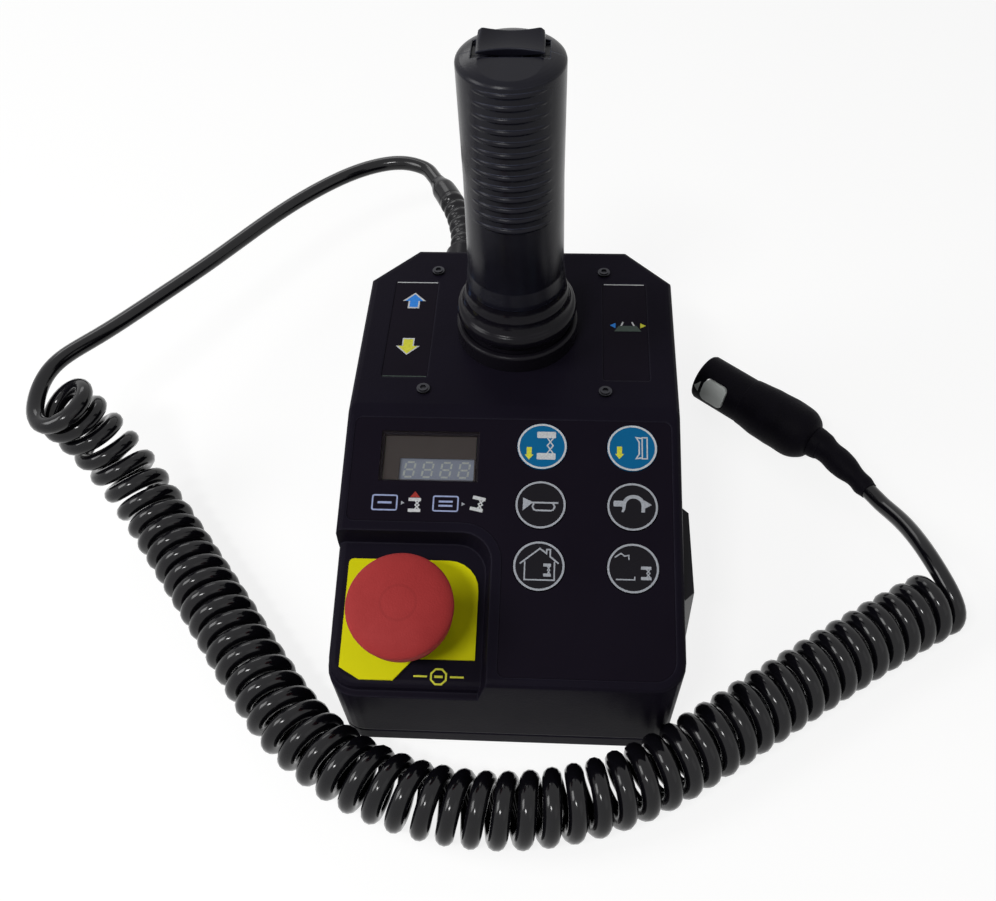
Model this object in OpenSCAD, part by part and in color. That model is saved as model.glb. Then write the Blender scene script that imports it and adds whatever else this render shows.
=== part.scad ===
// Hand-held controller of a scissor lift, lying on a bench with its curly cord.
// Millimetres. X to the right, Y to the back, Z up. The origin lies on the bench,
// under the middle of the case. The sloping panel has its own frame: x as before,
// s down the slope from the ridge, and lift along the outward normal.

/* [Case] */
// Width of the case
case_w = 137; // [132:1:150]
// Depth of the case, front to back
case_d = 210; // [206:1:226]
// Height of the flat deck
deck_h = 83; // [79:1:92]
// Height of the front wall
front_h = 51; // [49:1:55]
// How far the ridge lies behind the middle of the case
ridge_y = 4; // [2:0.5:7]
// Thickness of the moulded walls
wall = 3.2; // [2.6:0.1:3.6]
// Fillet along the upper edges
edge_r = 3; // [2:0.5:4]
// Radius of the two front corners, seen from above
front_corner_r = 12; // [8:1:16]
// Rear corner chamfer along X
chamfer_x = 20; // [16:1:24]
// Rear corner chamfer along Y
chamfer_y = 21; // [16:1:24]
// How far the walls draw in towards the bottom
draft_in = 2.5; // [1:0.5:4]
// Height of the base tray
base_h = 8; // [7:0.5:10]
// Thickness of the seal between tray and case
seal_t = 1; // [0.8:0.1:1.5]
// Length of the side bumper
bumper_l = 52; // [40:1:60]
// How far the side bumper stands out
bumper_out = 4; // [2:0.5:6]

/* [Keypad and display] */
// Radius of a key
key_r = 10; // [8:0.5:11]
// Distance from one key row to the next
key_pitch_s = 25.2; // [24:0.2:27]
// How far right of the middle the left key column stands
key_left = 12.5; // [11:0.5:15]
// Travel of a key
key_travel = 0.6; // [0.4:0.1:0.8]
// Thickness of the printed overlay
overlay_t = 0.5; // [0.3:0.1:0.8]
// Distance of the display window from the left wall
lens_edge = 15.5; // [13:0.5:20]
// Distance of the display window from the middle of the panel
lens_mid = 13; // [10:0.5:16]
// Length of the display window down the slope
lens_l = 22; // [18:1:24]
// Length of the four-digit module
module_l = 10.1; // [9:0.1:12]

/* [Emergency stop] */
// Depth of the recess around the stop button
recess_depth = 8.5; // [6:0.5:10]
// How far left of the middle the recess ends
recess_mid = 6; // [4:0.5:10]
// Length of the recess from the front edge
recess_l = 60.5; // [56:0.5:62]
// Diameter of the mushroom head
stop_head_d = 40; // [34:1:42]
// Height of the head's rim over the recess floor
stop_rim_h = 24; // [21:0.5:27]
// Travel of the stop button
stop_travel = 5; // [3:0.5:6]
// Thickness of the yellow plate
plate_t = 1; // [0.8:0.1:1.5]

/* [Joystick] */
// How far the joystick stands in front of the middle of the deck
stick_off = 2.5; // [0:0.5:4]
// Radius of the grip
grip_r = 19.8; // [18:0.1:21]
// Height of the grip's lower end over the deck
grip_low = 29.5; // [29:0.5:33]
// Height of the grip's top over the deck
grip_top = 133.3; // [130:0.1:140]
// Outer radius of the boot's clamp ring
ring_r = 26.2; // [25:0.1:28]
// Height of the boot's clamp ring
ring_h = 8; // [7:0.5:9]
// Screw spacing across the joystick
stick_screw_x = 76; // [70:1:80]
// Distance of the joystick's screws from the ends of the deck, on average
stick_screw_in = 13.5; // [12.5:0.5:15.5]
// Number of ribs on the grip
rib_count = 13; // [8:1:13]
// Distance from one rib to the next
rib_pitch = 4.8; // [4:0.1:4.8]
// Depth of the joystick pivot under the deck
pivot_drop = 12; // [11:0.5:14]
// Width of the thumb rocker
rocker_w = 24; // [20:1:26]
// Width of the enable trigger
trigger_w = 16; // [12:1:18]

/* [Cord and plug] */
// Diameter of the cord
cord_d = 7.5; // [6.5:0.1:7.6]
// Outer diameter of the curls
curl_od = 29.3; // [26:0.1:29.4]
// Number of curls
curl_count = 55; // [40:1:56]
// Length of the plug's front shell
plug_shell_l = 26; // [22:1:28]
// Outer radius of the plug's front shell
plug_r = 11.6; // [10.5:0.1:12]
// Radius of the plug's mouth
mouth_r = 9.5; // [9:0.1:9.8]
// Depth of the plug's mouth
mouth_l = 9; // [8:0.5:11]

/* [Hidden] */

// Fine and coarse roundness, an overrun for cuts and a thin slice for hulls
$fn = 48;
coarse_fn = 32;
over = 1;
slice = 0.1;
spring_sides = 8;
// Gap round moving pieces, running fit of pins, and hairline fit of inserts
gap = 0.3;
fit = 0.05;
hair = 0.15;

// The sloping panel
slope = atan((deck_h - front_h) / (ridge_y + case_d / 2));
slope_l = norm([deck_h - front_h, ridge_y + case_d / 2]);
half_w = case_w / 2;
half_d = case_d / 2;
cut_h = 2 * deck_h;
moulding = "#1d1b22";
black_plastic = "#141317";
rubber = "#19181c";
steel = "#b9bcc0";
pcb_green = "#1f5a3a";

// Base tray, its screws and the posts that they enter
tray_floor = 3;
tray_wall = 3.4;
seal_inset = 0.5;
post_r = 4.5;
post_in_x = 12.5;
post_front_in = 13;
post_rear_in = 32;
case_screw_r = 2;
case_screw_l = 18;
case_head_r = 3.6;
case_head_h = 2.4;
post_at = [[-half_w + post_in_x, -half_d + post_front_in],
    [half_w - post_in_x, -half_d + post_front_in],
    [-half_w + post_in_x, half_d - post_rear_in],
    [half_w - post_in_x, half_d - post_rear_in]];

// Side bumper: its middle, its height band and the length of its ramps
bumper_y = -46;
bumper_low = 22;
bumper_down = 3.5;
bumper_high = panel_z(bumper_y - bumper_l / 2, bumper_down);
bumper_ramp = 7;
bumper_root = 3;

// Deck labels
label_w = 19.5;
label_clear = 6.8;
label_t = 0.4;
label_pocket = 0.6;
label_in = 21.5;

// Overlay margins and corner radii
overlay_margin = 4;
overlay_corner_r = 3;
recess_corner_r = 12;
recess_draft = 3.5;

// Keys: first row, right column, cap, flange and stem
key_s = 15.8;
key_in = 19.8;
key_proud = 0.3;
key_flange = 0.8;
key_flange_t = 1;
key_stem_r = 2;
key_stem_l = 2.5;
key_x = [key_left, half_w - key_in];
key_under = wall + gap;
key_foot = key_under + key_flange_t + key_stem_l;

// Display window, its ledge and the digit module under it
lens_s = 21;
lens_t = 1.5;
lens_ledge = 1;
module_drop = 3;
module_h = 5;
module_off_x = 3;
module_off_s = 4.8;
module_side = 9.2;
lens_w = half_w - lens_edge - lens_mid;
lens_x = -lens_mid - lens_w / 2;
module_w = lens_w - module_side;

// Control board under the panel, its switches and its screws
board_t = 1.6;
switch_room = 3;
board_drop = key_foot + key_travel + switch_room;
board_edge = 5.5;
board_s = 3.5;
board_tail = 14;
board_end_s = key_s + 2 * key_pitch_s + board_tail;
board_inner = 5;
board_boss_r = 2.5;
board_screw_r = 1.25;
board_head_r = 2.2;
board_head_h = 1.4;
board_screw_l = 6;
board_screw_in = 2.5;
switch_w = 6;
switch_base_h = 1.6;
switch_tip_r = 1.5;
switch_tip_gap = 0.1;
recess_x = -recess_mid;
recess_s = slope_l - recess_l;
board_left = -half_w + board_edge;
board_right = half_w - board_edge;
board_step_x = recess_x + board_inner;
board_step_s = recess_s - wall - board_screw_in;
board_screw_at = [[board_left + board_screw_in, board_s + board_screw_in],
    [board_right - board_screw_in, board_s + board_screw_in],
    [board_right - board_screw_in, board_end_s - board_screw_in],
    [board_step_x + board_screw_in, board_end_s - board_screw_in],
    [board_left + board_screw_in, board_step_s - board_screw_in]];

// Stop button: middle, plate, collar, barrel, plunger and head
stop_in = 31;
stop_up = 25;
stop_x = -half_w + stop_in;
stop_s = slope_l - stop_up;
floor_lift = -recess_depth;
plate_top = floor_lift + plate_t;
plate_corner_r = 2;
plate_big_r = 12;
plate_left = 5.5;
plate_right = 5;
plate_back = 9.5;
plate_front = 0.5;
plate_step = 11.5;
plate_cut_side = 8;
plate_cut_l = 7.5;
plate_notch_x = 28.5;
plate_notch_w = 7.5;
barrel_r = 11;
barrel_l = 16;
collar_r = 14.5;
collar_h = 9;
plunger_r = 8;
plunger_foot = 12;
plunger_bore = stop_travel + 2;
nut_h = 4;
nut_r = 14.5;
contacts_w = 22;
contacts_l = 28;
contacts_h = 19;
head_rim_h = 4;
head_dome_h = 4.5;
head_skirt_h = 5;
head_hub_r = 12;
hub_low = 3;
stop_wire_r = 0.6;
stop_coil_r = 5;
stop_coils = 3.5;

// Joystick base, pivot pin, shaft and sensor
opening_r = 22;
stick_plate_t = 3;
stick_plate_edge = 4;
lug_in = 23.5;
lug_t = 7;
pin_r = 3;
hub_r = 8;
bush_r = 4.6;
bush_l = 8;
bush_flange_r = 6.5;
bush_flange_t = 1.2;
shaft_r = 6;
shaft_end = 18.5;
collar_disc_r = 10.5;
collar_disc_t = 2;
magnet_r = 4;
magnet_arm = 14;
magnet_t = 3;
magnet_neck_r = 3;
sensor_gap = 2;
sensor_t = 1.6;
sensor_w = 62;
sensor_l = 46;
sensor_post_r = 3;
sensor_post_x = 28;
sensor_post_y = 20;
stick_screw_r = 1.5;
stick_head_r = 2.75;
stick_head_h = 1.6;
stick_screw_l = 9;
pivot_z = deck_h - pivot_drop;
stick_y = (ridge_y + half_d) / 2 - stick_off;
stick_screw_y = half_d - ridge_y - 2 * stick_screw_in;
label_l = stick_screw_y - 2 * label_clear;
centring_wire_r = 0.9;
centring_coils = 4;
centring_low = 9;

// Boot of rubber, as radii and heights over the deck
boot_t = 1.8;
ring_fillet = 1.4;
boot_side = 0.7;
boot_bulge_r = ring_r - boot_side;
boot_high_r = grip_r + boot_side;
boot_shares = [[0.62, 0], [0.62, 0.27], [0.9, 0.37], [1, 0.47], [0.96, 0.57],
    [0.72, 0.68], [0.38, 0.8], [0.04, 0.92], [0, 1]];
boot_neck_r = boot_high_r + boot_shares[0][0] * (boot_bulge_r - boot_high_r);

// Grip
grip_lip = 0.8;
grip_waist_share = 0.98;
grip_top_r = 6;
shoulder_drop = 4;
shoulder_h = grip_top - shoulder_drop;
facet_angle = 6;
facet_back = 3;
facet_drop = 0.2;
rib_out = 0.75;
rib_r = 1.25;
rib_ring_share = 0.84;
rib_first = 6.05;
grip_screw_x = 11;
grip_screw_low = 14;
grip_screw_rise = 24;
grip_screw_r = 1.5;
grip_head_r = 2.9;
grip_head_h = 2;
grip_screw_l = 22;
grip_sink = 4;

// Thumb rocker: barrel, neck and saddle
rocker_drop = 8.5;
barrel_rr = 9;
rocker_front = 4;
rocker_back = 8;
rocker_lift = 0.7;
rocker_mid_t = 2;
rocker_end_t = 3.5;
rocker_scoop = 2.5;
rocker_well = 2.4;
rocker_swing = 1.8;
rocker_neck = 4;
rocker_slot = 7;
rocker_top_in = 1.2;
rocker_pin_r = 1.5;
rocker_switch_w = 12;
rocker_switch_h = 12;
rocker_z = deck_h + grip_top - rocker_drop;

// Enable trigger at the back of the grip: hinge, lever, pocket and spring
hinge_down = 24;
hinge_back = 13;
lever_l = 32;
lever_over = 4.5;
lever_in = 2;
lever_out = 10;
lever_belly = 3.4;
pocket_floor = 8.5;
pocket_over = 2;
trigger_pin_r = 1.5;
trigger_pin_over = 2.5;
trigger_switch_w = 8;
trigger_switch_h = 14;
trigger_switch_in = 6;
trigger_tip = 1.6;
trigger_tip_r = 1.6;
trigger_wire_r = 0.4;
trigger_coil_r = 2.2;
trigger_coils = 4;
trigger_z = deck_h + grip_top - hinge_down;
shaft_top = grip_top - hinge_down - lever_l - shaft_end;

// Cable gland and strain relief
gland_in = 18.5;
gland_drop = 19;
gland_x = -(half_w - chamfer_x - gland_in);
gland_z = deck_h - gland_drop;
gland_body_r = 10;
gland_hex_l = 7;
gland_dome_r = 8.6;
gland_dome_l = 13;
gland_thread_r = 8;
gland_inner_l = 7;
gland_nut_r = 10.5;
gland_nut_l = 4;
relief_root_r = 7.4;
relief_tip_r = 5;
relief_rib = 1.1;
relief_ribs = 9;
relief_y = half_d + gland_hex_l + gland_dome_l;
relief_foot = [gland_x, relief_y, gland_z];
relief_end = [-48, 182, 64];
relief_dir = [-0.49, 0.87, 0];
relief_route = [[-31, 140, 64], [-35, 155, 64], [-41, 169, 64]];

// Route of the lead, chosen by hand
lead_route = [[-56, 194, 64], [-70, 200, 63.5], [-87, 198.5, 62],
    [-107, 186, 60], [-126, 169, 58], [-142, 149, 57], [-157, 127, 57],
    [-170, 107, 58.5], [-182, 87, 61], [-193, 67, 64.2], [-202.2, 52, 67],
    [-209, 44, 68.8], [-212.6, 39, 69.6]];

// Route of the curls' middle line, each with the local spacing of the curls
curl_route = [[-202, 16.5, 71, 10.4], [-194, 17, 54, 10.8], [-181, 10.5, 33, 11.2],
    [-165, -5.5, 19, 10.6], [-145, -30, 14.9, 9], [-123, -58, 14.8, 8.8],
    [-103, -84, 14.8, 9.1], [-84, -106, 14.8, 9.5], [-61, -122.5, 14.8, 9.5],
    [-38, -132, 14.8, 9.3], [-19, -136, 14.8, 9.2], [0, -137, 14.8, 9.2],
    [19, -135, 14.8, 9.2], [38, -130, 14.8, 9.2], [57, -121.5, 14.8, 9],
    [76, -109.5, 14.8, 8.7], [97, -95, 14.8, 8.7], [118, -80.5, 14.8, 8.7],
    [140, -65.5, 14.8, 8.7], [163, -50.5, 14.8, 8.7], [183, -38.5, 14.8, 8.7]];
curl_start = 165;
curl_open_share = 0.2;
curl_open_turns = 1.5;
curl_rings = 8;
axis_steps = 6;
curl_r = curl_od / 2 - cord_d / 2;

// Route of the tail, from the curls to the sleeve, and of the sleeve to the plug
tail_route = [[175.3, -11, 22.8], [171.6, 0, 19]];
tail_end = [161.8, 19.9, 14.1];
tail_dir = [-0.48, 0.87, -0.08];
sleeve_route = [[155.8, 30, 13.9]];
sleeve_tip_r = 4.6;
sleeve_root_r = 7.2;

// Plug: its tip, its direction, and the radii and lengths of its body
plug_end = [140.6, 49.6, 13.9];
plug_turn = -40.5;
plug_dir = [-cos(plug_turn), -sin(plug_turn), 0];
plug_body_l = 38;
plug_neck_r = 7.4;
plug_belly_r = 13.6;
plug_root_r = 12.2;
insert_l = 13;
socket_r = 0.9;
socket_ring_r = 5.5;
socket_count = 8;
socket_l = 8;
latch_w = 12;
latch_l = 13;
latch_corner_r = 3;
latch_at = 12;
latch_tilt = 20;
latch_proud = 0.7;
latch_travel = 1;
straight = 5;

function unit(v) = v / norm(v);
function at(P, i) = P[max(0, min(len(P) - 1, i))];
function turned(r, a) = [r * cos(a), r * sin(a)];
function bend(a, b, c, d, t) = (2 * b + (c - a) * t + (2 * a - 5 * b + 4 * c - d) * t * t
    + (3 * b - 3 * c + d - a) * t * t * t) / 2;

// A smooth curve through the route P, in k pieces to a span
function smooth(P, k) = [for (i = [0 : len(P) - 2]) for (j = [0 : k - 1])
    bend(at(P, i - 1), P[i], P[i + 1], at(P, i + 2), j / k), P[len(P) - 1]];
function tangents(P) = [for (i = [0 : len(P) - 1]) unit(at(P, i + 1) - at(P, i - 1))];
function square_to(n, t) = unit(n - (n * t) * t);

// A route from a to b through P that leaves along da and arrives along db
function led(a, da, P, db, b, k) =
    concat([a], smooth(concat([a + da], P, [b - db]), k), [b]);
function side_dirs(T, n0) = [for (i = 0, n = square_to(n0, T[0]); i < len(T);
    i = i + 1, n = square_to(n, at(T, i))) n];

// The points of a rounded rectangle, its middle at the origin
function rounded(w, l, r) = [for (c = [[1, 1, 0], [-1, 1, 90], [-1, -1, 180], [1, -1, 270]])
    for (a = [0 : 15 : 90]) [c[0] * (w / 2 - r), c[1] * (l / 2 - r)] + turned(r, c[2] + a)];

// A round tube along the points P; r gives the radius at each point
module tube(P, r, ring_sides, n0) {
    T = tangents(P);
    N = side_dirs(T, n0);
    last = len(P) - 1;
    points = [for (i = [0 : last]) for (k = [0 : ring_sides - 1])
        let (a = 360 * k / ring_sides)
        P[i] + r[i] * (cos(a) * N[i] + sin(a) * cross(T[i], N[i]))];
    walls = [for (i = [0 : last - 1]) for (k = [0 : ring_sides - 1])
        let (a = i * ring_sides + k, b = i * ring_sides + (k + 1) % ring_sides)
        each [[a, a + ring_sides, b], [b, a + ring_sides, b + ring_sides]]];
    start = [for (k = [1 : ring_sides - 2]) [0, k, k + 1]];
    stop = [for (k = [1 : ring_sides - 2])
        [last * ring_sides, last * ring_sides + k + 1, last * ring_sides + k]];
    polyhedron(points, concat(walls, start, stop));
}

function same(P, r) = [for (p = P) r];

// A wire spring that stands on the origin: mean radius, wire radius, height, coils
module spring(coil_r, wire_r, height, coils) {
    steps = round(spring_sides * coils);
    P = [for (i = [0 : steps]) let (a = 360 * coils * i / steps)
        [coil_r * cos(a), coil_r * sin(a), wire_r + (height - 2 * wire_r) * i / steps]];
    tube(P, same(P, wire_r), 6, [1, 0, 0]);
}

// The panel's frame, and the outlines of the case in it
module on_panel(x, s, lift) {
    translate([0, ridge_y, deck_h]) rotate([slope, 0, 0]) translate([x, -s, lift]) children();
}

module deck_outline() {
    polygon([[-half_w, ridge_y], [half_w, ridge_y], [half_w, half_d - chamfer_y],
        [half_w - chamfer_x, half_d], [-half_w + chamfer_x, half_d],
        [-half_w, half_d - chamfer_y]]);
}

function front_arc(front) = concat(
    [for (a = [180 : 15 : 270])
        [-half_w + front_corner_r, front + front_corner_r] + turned(front_corner_r, a)],
    [for (a = [270 : 15 : 360])
        [half_w - front_corner_r, front + front_corner_r] + turned(front_corner_r, a)]);

module panel_outline() {
    polygon(concat([[-half_w, 0]], front_arc(-slope_l), [[half_w, 0]]));
}

module foot_outline() {
    polygon(concat(front_arc(-half_d), [[half_w, half_d - chamfer_y],
        [half_w - chamfer_x, half_d], [-half_w + chamfer_x, half_d],
        [-half_w, half_d - chamfer_y]]));
}

// The whole case as a block, drawn in by inset, with its panel lowered by drop. A lowered
// block stays a hairline inside the whole one, so that their walls don't meet in slivers
module case_block(inset, drop) {
    ledge = drop == 0 ? 0 : 2 * fit;
    hull() {
        for (a = [0 : 30 : 90]) {
            in = inset + ledge + edge_r * (1 - sin(a));
            down = inset + edge_r * (1 - cos(a)) + slice;
            if (drop == 0) translate([0, 0, deck_h - down]) linear_extrude(slice)
                offset(delta = -in) deck_outline();
            on_panel(0, 0, -down - drop) linear_extrude(slice)
                offset(delta = -in - draft_in * drop / front_h) panel_outline();
        }
        linear_extrude(slice) offset(delta = -inset - ledge - draft_in) foot_outline();
    }
}

module recess_outline(grow) {
    right = recess_x + grow;
    back = -recess_s + grow;
    polygon(concat([[-case_w, back], [-case_w, -case_d], [right, -case_d]],
        [for (a = [0 : 15 : 90])
            [right - recess_corner_r, back - recess_corner_r] + turned(recess_corner_r, a)]));
}

// The room of the stop button: open to the left and to the front
module recess(depth, grow) {
    on_panel(0, 0, 0) hull() {
        linear_extrude(over) recess_outline(grow);
        translate([0, 0, -depth]) linear_extrude(slice) recess_outline(grow - recess_draft);
    }
}

module overlay_outline(shrink) {
    offset(r = overlay_corner_r) offset(delta = -overlay_margin - overlay_corner_r - shrink)
    difference() {
        panel_outline();
        recess_outline(0);
    }
}

module at_keys() {
    for (row = [0 : 2]) for (x = key_x) on_panel(x, key_s + row * key_pitch_s, 0) children();
}

module at_board_screws() {
    for (p = board_screw_at) on_panel(p[0], p[1], 0) children();
}

module at_stick_screws() {
    for (sx = [-1, 1]) for (sy = [-1, 1])
        translate([sx * stick_screw_x / 2, stick_y + sy * stick_screw_y / 2, 0]) children();
}

// The height of the panel over a place y on the bench
function panel_z(y, drop) = deck_h - max(0, ridge_y - y) * tan(slope) - drop / cos(slope);

module upper_case() {
    color(moulding)
    difference() {
        union() {
            difference() {
                union() {
                    difference() {
                        case_block(0, 0);
                        recess(recess_depth + edge_r + over, 0);
                    }
                    case_block(0, recess_depth);
                }
                difference() {
                    case_block(wall, 0);
                    recess(recess_depth + wall, wall);
                }
            }
            for (i = [0 : len(post_at) - 1]) {
                p = post_at[i];
                top = panel_z(p[1], i == 0 ? recess_depth : 0) - wall / 2;
                translate([p[0], p[1], base_h]) cylinder(r = post_r, h = top - base_h);
            }
            at_board_screws() translate([0, 0, -board_drop])
                cylinder(r = board_boss_r, h = board_drop - wall / 2);
        }
        translate([-case_w, -case_d, -cut_h]) cube([2 * case_w, 2 * case_d, cut_h + base_h]);
        for (p = post_at) translate([p[0], p[1], 0]) cylinder(r = case_screw_r + fit, h = base_h
            + case_screw_l - tray_floor);
        at_board_screws() translate([0, 0, -board_drop - over])
            cylinder(r = board_screw_r + fit, h = board_screw_l + over - board_t);
        on_panel(0, 0, -overlay_t) linear_extrude(overlay_t + over) overlay_outline(0);
        at_keys() translate([0, 0, -2 * wall]) cylinder(r = key_r + gap, h = 3 * wall);
        on_panel(lens_x, lens_s, -lens_t) linear_extrude(lens_t + over)
            polygon(rounded(lens_w, lens_l, hair));
        on_panel(lens_x, lens_s, -2 * wall) linear_extrude(3 * wall)
            polygon(rounded(lens_w - 2 * lens_ledge, lens_l - 2 * lens_ledge, hair));
        on_panel(stop_x, stop_s, floor_lift - 2 * wall) cylinder(r = barrel_r + hair, h = 3 * wall);
        translate([0, stick_y, deck_h - 2 * wall]) cylinder(r = opening_r, h = 3 * wall);
        at_stick_screws() translate([0, 0, deck_h - 2 * wall])
            cylinder(r = stick_screw_r + hair, h = 3 * wall);
        for (side = [-1, 1])
            translate([side * (half_w - label_in), stick_y + hair, deck_h - label_pocket])
                linear_extrude(over) polygon(rounded(label_w, label_l, over));
        translate([gland_x, half_d + over, gland_z]) rotate([90, 0, 0])
            cylinder(r = gland_thread_r + hair, h = 2 * wall + over);
    }
}

module base_tray() {
    color(moulding)
    difference() {
        case_block(0, 0);
        translate([-case_w, -case_d, base_h - seal_t]) cube([2 * case_w, 2 * case_d, cut_h]);
        difference() {
            case_block(tray_wall, 0);
            translate([-case_w, -case_d, -cut_h])
                cube([2 * case_w, 2 * case_d, cut_h + tray_floor]);
            for (p = post_at) translate([p[0], p[1], 0]) cylinder(r = post_r + over, h = base_h);
        }
        for (p = post_at) translate([p[0], p[1], -over]) {
            cylinder(r = case_screw_r + hair, h = base_h + 2 * over);
            cylinder(r = case_head_r + hair, h = case_head_h + over);
        }
    }
}

module case_seal() {
    color("#2b2b2e")
    difference() {
        case_block(seal_inset, 0);
        case_block(tray_wall - seal_inset, 0);
        translate([-case_w, -case_d, -cut_h])
            cube([2 * case_w, 2 * case_d, cut_h + base_h - seal_t]);
        translate([-case_w, -case_d, base_h]) cube([2 * case_w, 2 * case_d, cut_h]);
    }
}

module case_screws() {
    color(steel)
    for (p = post_at) translate([p[0], p[1], 0]) difference() {
        union() {
            translate([0, 0, case_head_h / 4]) cylinder(r = case_head_r, h = case_head_h * 3 / 4);
            translate([0, 0, case_head_h - hair]) cylinder(r = case_screw_r, h = case_screw_l);
        }
        cylinder(r = case_screw_r * 3 / 4, h = case_head_h * 3 / 4, $fn = 6);
    }
}

module side_bumper() {
    color(rubber)
    difference() {
        translate([half_w, bumper_y, bumper_low]) rotate([0, 0, 90])
            linear_extrude(bumper_high - bumper_low)
            polygon([[-bumper_l / 2, bumper_root], [bumper_l / 2, bumper_root],
                [bumper_l / 2 - bumper_ramp, -bumper_out],
                [-bumper_l / 2 + bumper_ramp, -bumper_out]]);
        case_block(0, 0);
    }
}

module panel_overlay() {
    color("#15141a")
    difference() {
        on_panel(0, 0, -overlay_t) linear_extrude(overlay_t) overlay_outline(hair);
        at_keys() translate([0, 0, -wall]) cylinder(r = key_r + gap, h = 2 * wall);
        on_panel(lens_x, lens_s, -wall) linear_extrude(2 * wall)
            polygon(rounded(lens_w + hair, lens_l + hair, hair));
    }
}

module deck_labels() {
    color("#121116")
    for (side = [-1, 1])
        translate([side * (half_w - label_in), stick_y + hair, deck_h - label_pocket])
            linear_extrude(label_t) polygon(rounded(label_w - gap, label_l - gap, over));
}

module display_lens() {
    color("#3a3433")
    on_panel(lens_x, lens_s, -lens_t) linear_extrude(lens_t)
        polygon(rounded(lens_w - hair, lens_l - hair, hair));
}

// Four figures in one moulded block, standing on the control board
module digit_module() {
    x = lens_x + module_off_x;
    s = lens_s + module_off_s;
    color("#7c8496")
    on_panel(x, s, -module_drop - module_h) {
        linear_extrude(module_h) square([module_w, module_l], center = true);
        for (i = [-1, 1]) translate([i * module_w / 4, 0, module_h - board_drop + module_drop])
            linear_extrude(board_drop - module_drop - module_h)
            square([module_w / 3, module_l / 2], center = true);
    }
}

// L-shaped, to clear the room of the stop button, with a switch under each key
module control_board() {
    switch_h = board_drop - key_foot - key_travel - switch_tip_gap;
    color(pcb_green)
    difference() {
        union() {
            on_panel(0, 0, -board_drop - board_t) linear_extrude(board_t)
                polygon([[board_left, -board_s], [board_right, -board_s],
                    [board_right, -board_end_s], [board_step_x, -board_end_s],
                    [board_step_x, -board_step_s], [board_left, -board_step_s]]);
            at_keys() translate([0, 0, -board_drop - hair]) {
                linear_extrude(switch_base_h + hair) square(switch_w, center = true);
                cylinder(r = switch_tip_r, h = switch_h + hair);
            }
        }
        at_board_screws() translate([0, 0, -2 * board_drop])
            cylinder(r = board_screw_r + fit, h = 3 * board_drop);
    }
}

module board_screws() {
    color(steel)
    at_board_screws() translate([0, 0, -board_drop - board_t - board_head_h]) {
        cylinder(r = board_head_r, h = board_head_h);
        cylinder(r = board_screw_r, h = board_head_h + board_screw_l - gap);
    }
}

// One key: a flat cap, the flange that holds it in, and the stem over its switch
module key(n) {
    row = floor((n - 1) / 2);
    x = key_x[(n - 1) % 2];
    color(row == 0 ? "#0e7fa8" : black_plastic)
    on_panel(x, key_s + row * key_pitch_s, 0) {
        translate([0, 0, -key_under]) cylinder(r = key_r, h = key_under + key_proud);
        translate([0, 0, -key_under - key_flange_t])
            cylinder(r = key_r + gap + key_flange, h = key_flange_t);
        translate([0, 0, -key_foot]) cylinder(r = key_stem_r, h = key_stem_l + fit);
    }
}

module key_1() { key(1); }
module key_2() { key(2); }
module key_3() { key(3); }
module key_4() { key(4); }
module key_5() { key(5); }
module key_6() { key(6); }

// The plate under the stop button, with two cut corners and one notch
module yellow_plate() {
    left = -half_w + plate_left;
    right = recess_x - plate_right;
    back = -recess_s - plate_back;
    front = -slope_l + plate_front - gap;
    step = front + plate_step;
    big = [right - plate_big_r, back - plate_big_r];
    small = [left + plate_corner_r, back - plate_corner_r];
    color("#d8d800")
    on_panel(0, 0, floor_lift) linear_extrude(plate_t) difference() {
        polygon(concat([for (a = [0 : 15 : 90]) big + turned(plate_big_r, a)],
            [for (a = [90 : 15 : 180]) small + turned(plate_corner_r, a)],
            [[left, front + plate_cut_l], [left + plate_cut_side, front + edge_r],
            [left + plate_notch_x - plate_notch_w, front + edge_r],
            [left + plate_notch_x, step], [right, step]]));
        translate([stop_x, -stop_s]) circle(r = barrel_r + hair);
    }
}

module stop_collar() {
    color(black_plastic)
    on_panel(stop_x, stop_s, 0) difference() {
        union() {
            translate([0, 0, plate_top]) cylinder(r = collar_r, h = collar_h - over);
            translate([0, 0, plate_top]) cylinder(r = collar_r - over, h = collar_h);
            translate([0, 0, floor_lift - barrel_l]) cylinder(r = barrel_r,
                h = barrel_l + plate_t + over);
        }
        translate([0, 0, floor_lift - 2 * barrel_l])
            cylinder(r = plunger_r + fit, h = 3 * barrel_l + collar_h);
    }
}

module stop_nut() {
    color("#8d9094")
    on_panel(stop_x, stop_s, floor_lift - wall - nut_h) difference() {
        cylinder(r = nut_r, h = nut_h, $fn = 6);
        translate([0, 0, -over]) cylinder(r = barrel_r + fit, h = nut_h + 2 * over);
    }
}

module stop_contacts() {
    color("#2c2c30")
    on_panel(stop_x, stop_s, floor_lift - barrel_l - contacts_h) difference() {
        linear_extrude(contacts_h) square([contacts_w, contacts_l], center = true);
        translate([0, 0, contacts_h - plunger_bore])
            cylinder(r = plunger_r + gap, h = plunger_bore + over);
    }
}

// The plunger slides in the collar and ends in the contact block's pocket
stop_low = floor_lift - barrel_l - gap;
hub_lift = plate_top + collar_h + stop_travel + gap;
head_rim = floor_lift + stop_rim_h;
head_top = head_rim + head_rim_h + head_dome_h;
plunger_top = head_rim + head_rim_h / 2;

module stop_plunger() {
    color("#6f7378")
    on_panel(stop_x, stop_s, stop_low) difference() {
        cylinder(r = plunger_r, h = plunger_top - stop_low);
        translate([0, 0, -over]) cylinder(r = plunger_r - 2 * over, h = plunger_foot + over);
    }
}

module stop_spring() {
    height = plunger_foot + plunger_bore - gap - 2 * hair;
    color(steel)
    on_panel(stop_x, stop_s, floor_lift - barrel_l - plunger_bore + hair)
        spring(stop_coil_r - stop_wire_r, stop_wire_r, height, stop_coils);
}

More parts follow.
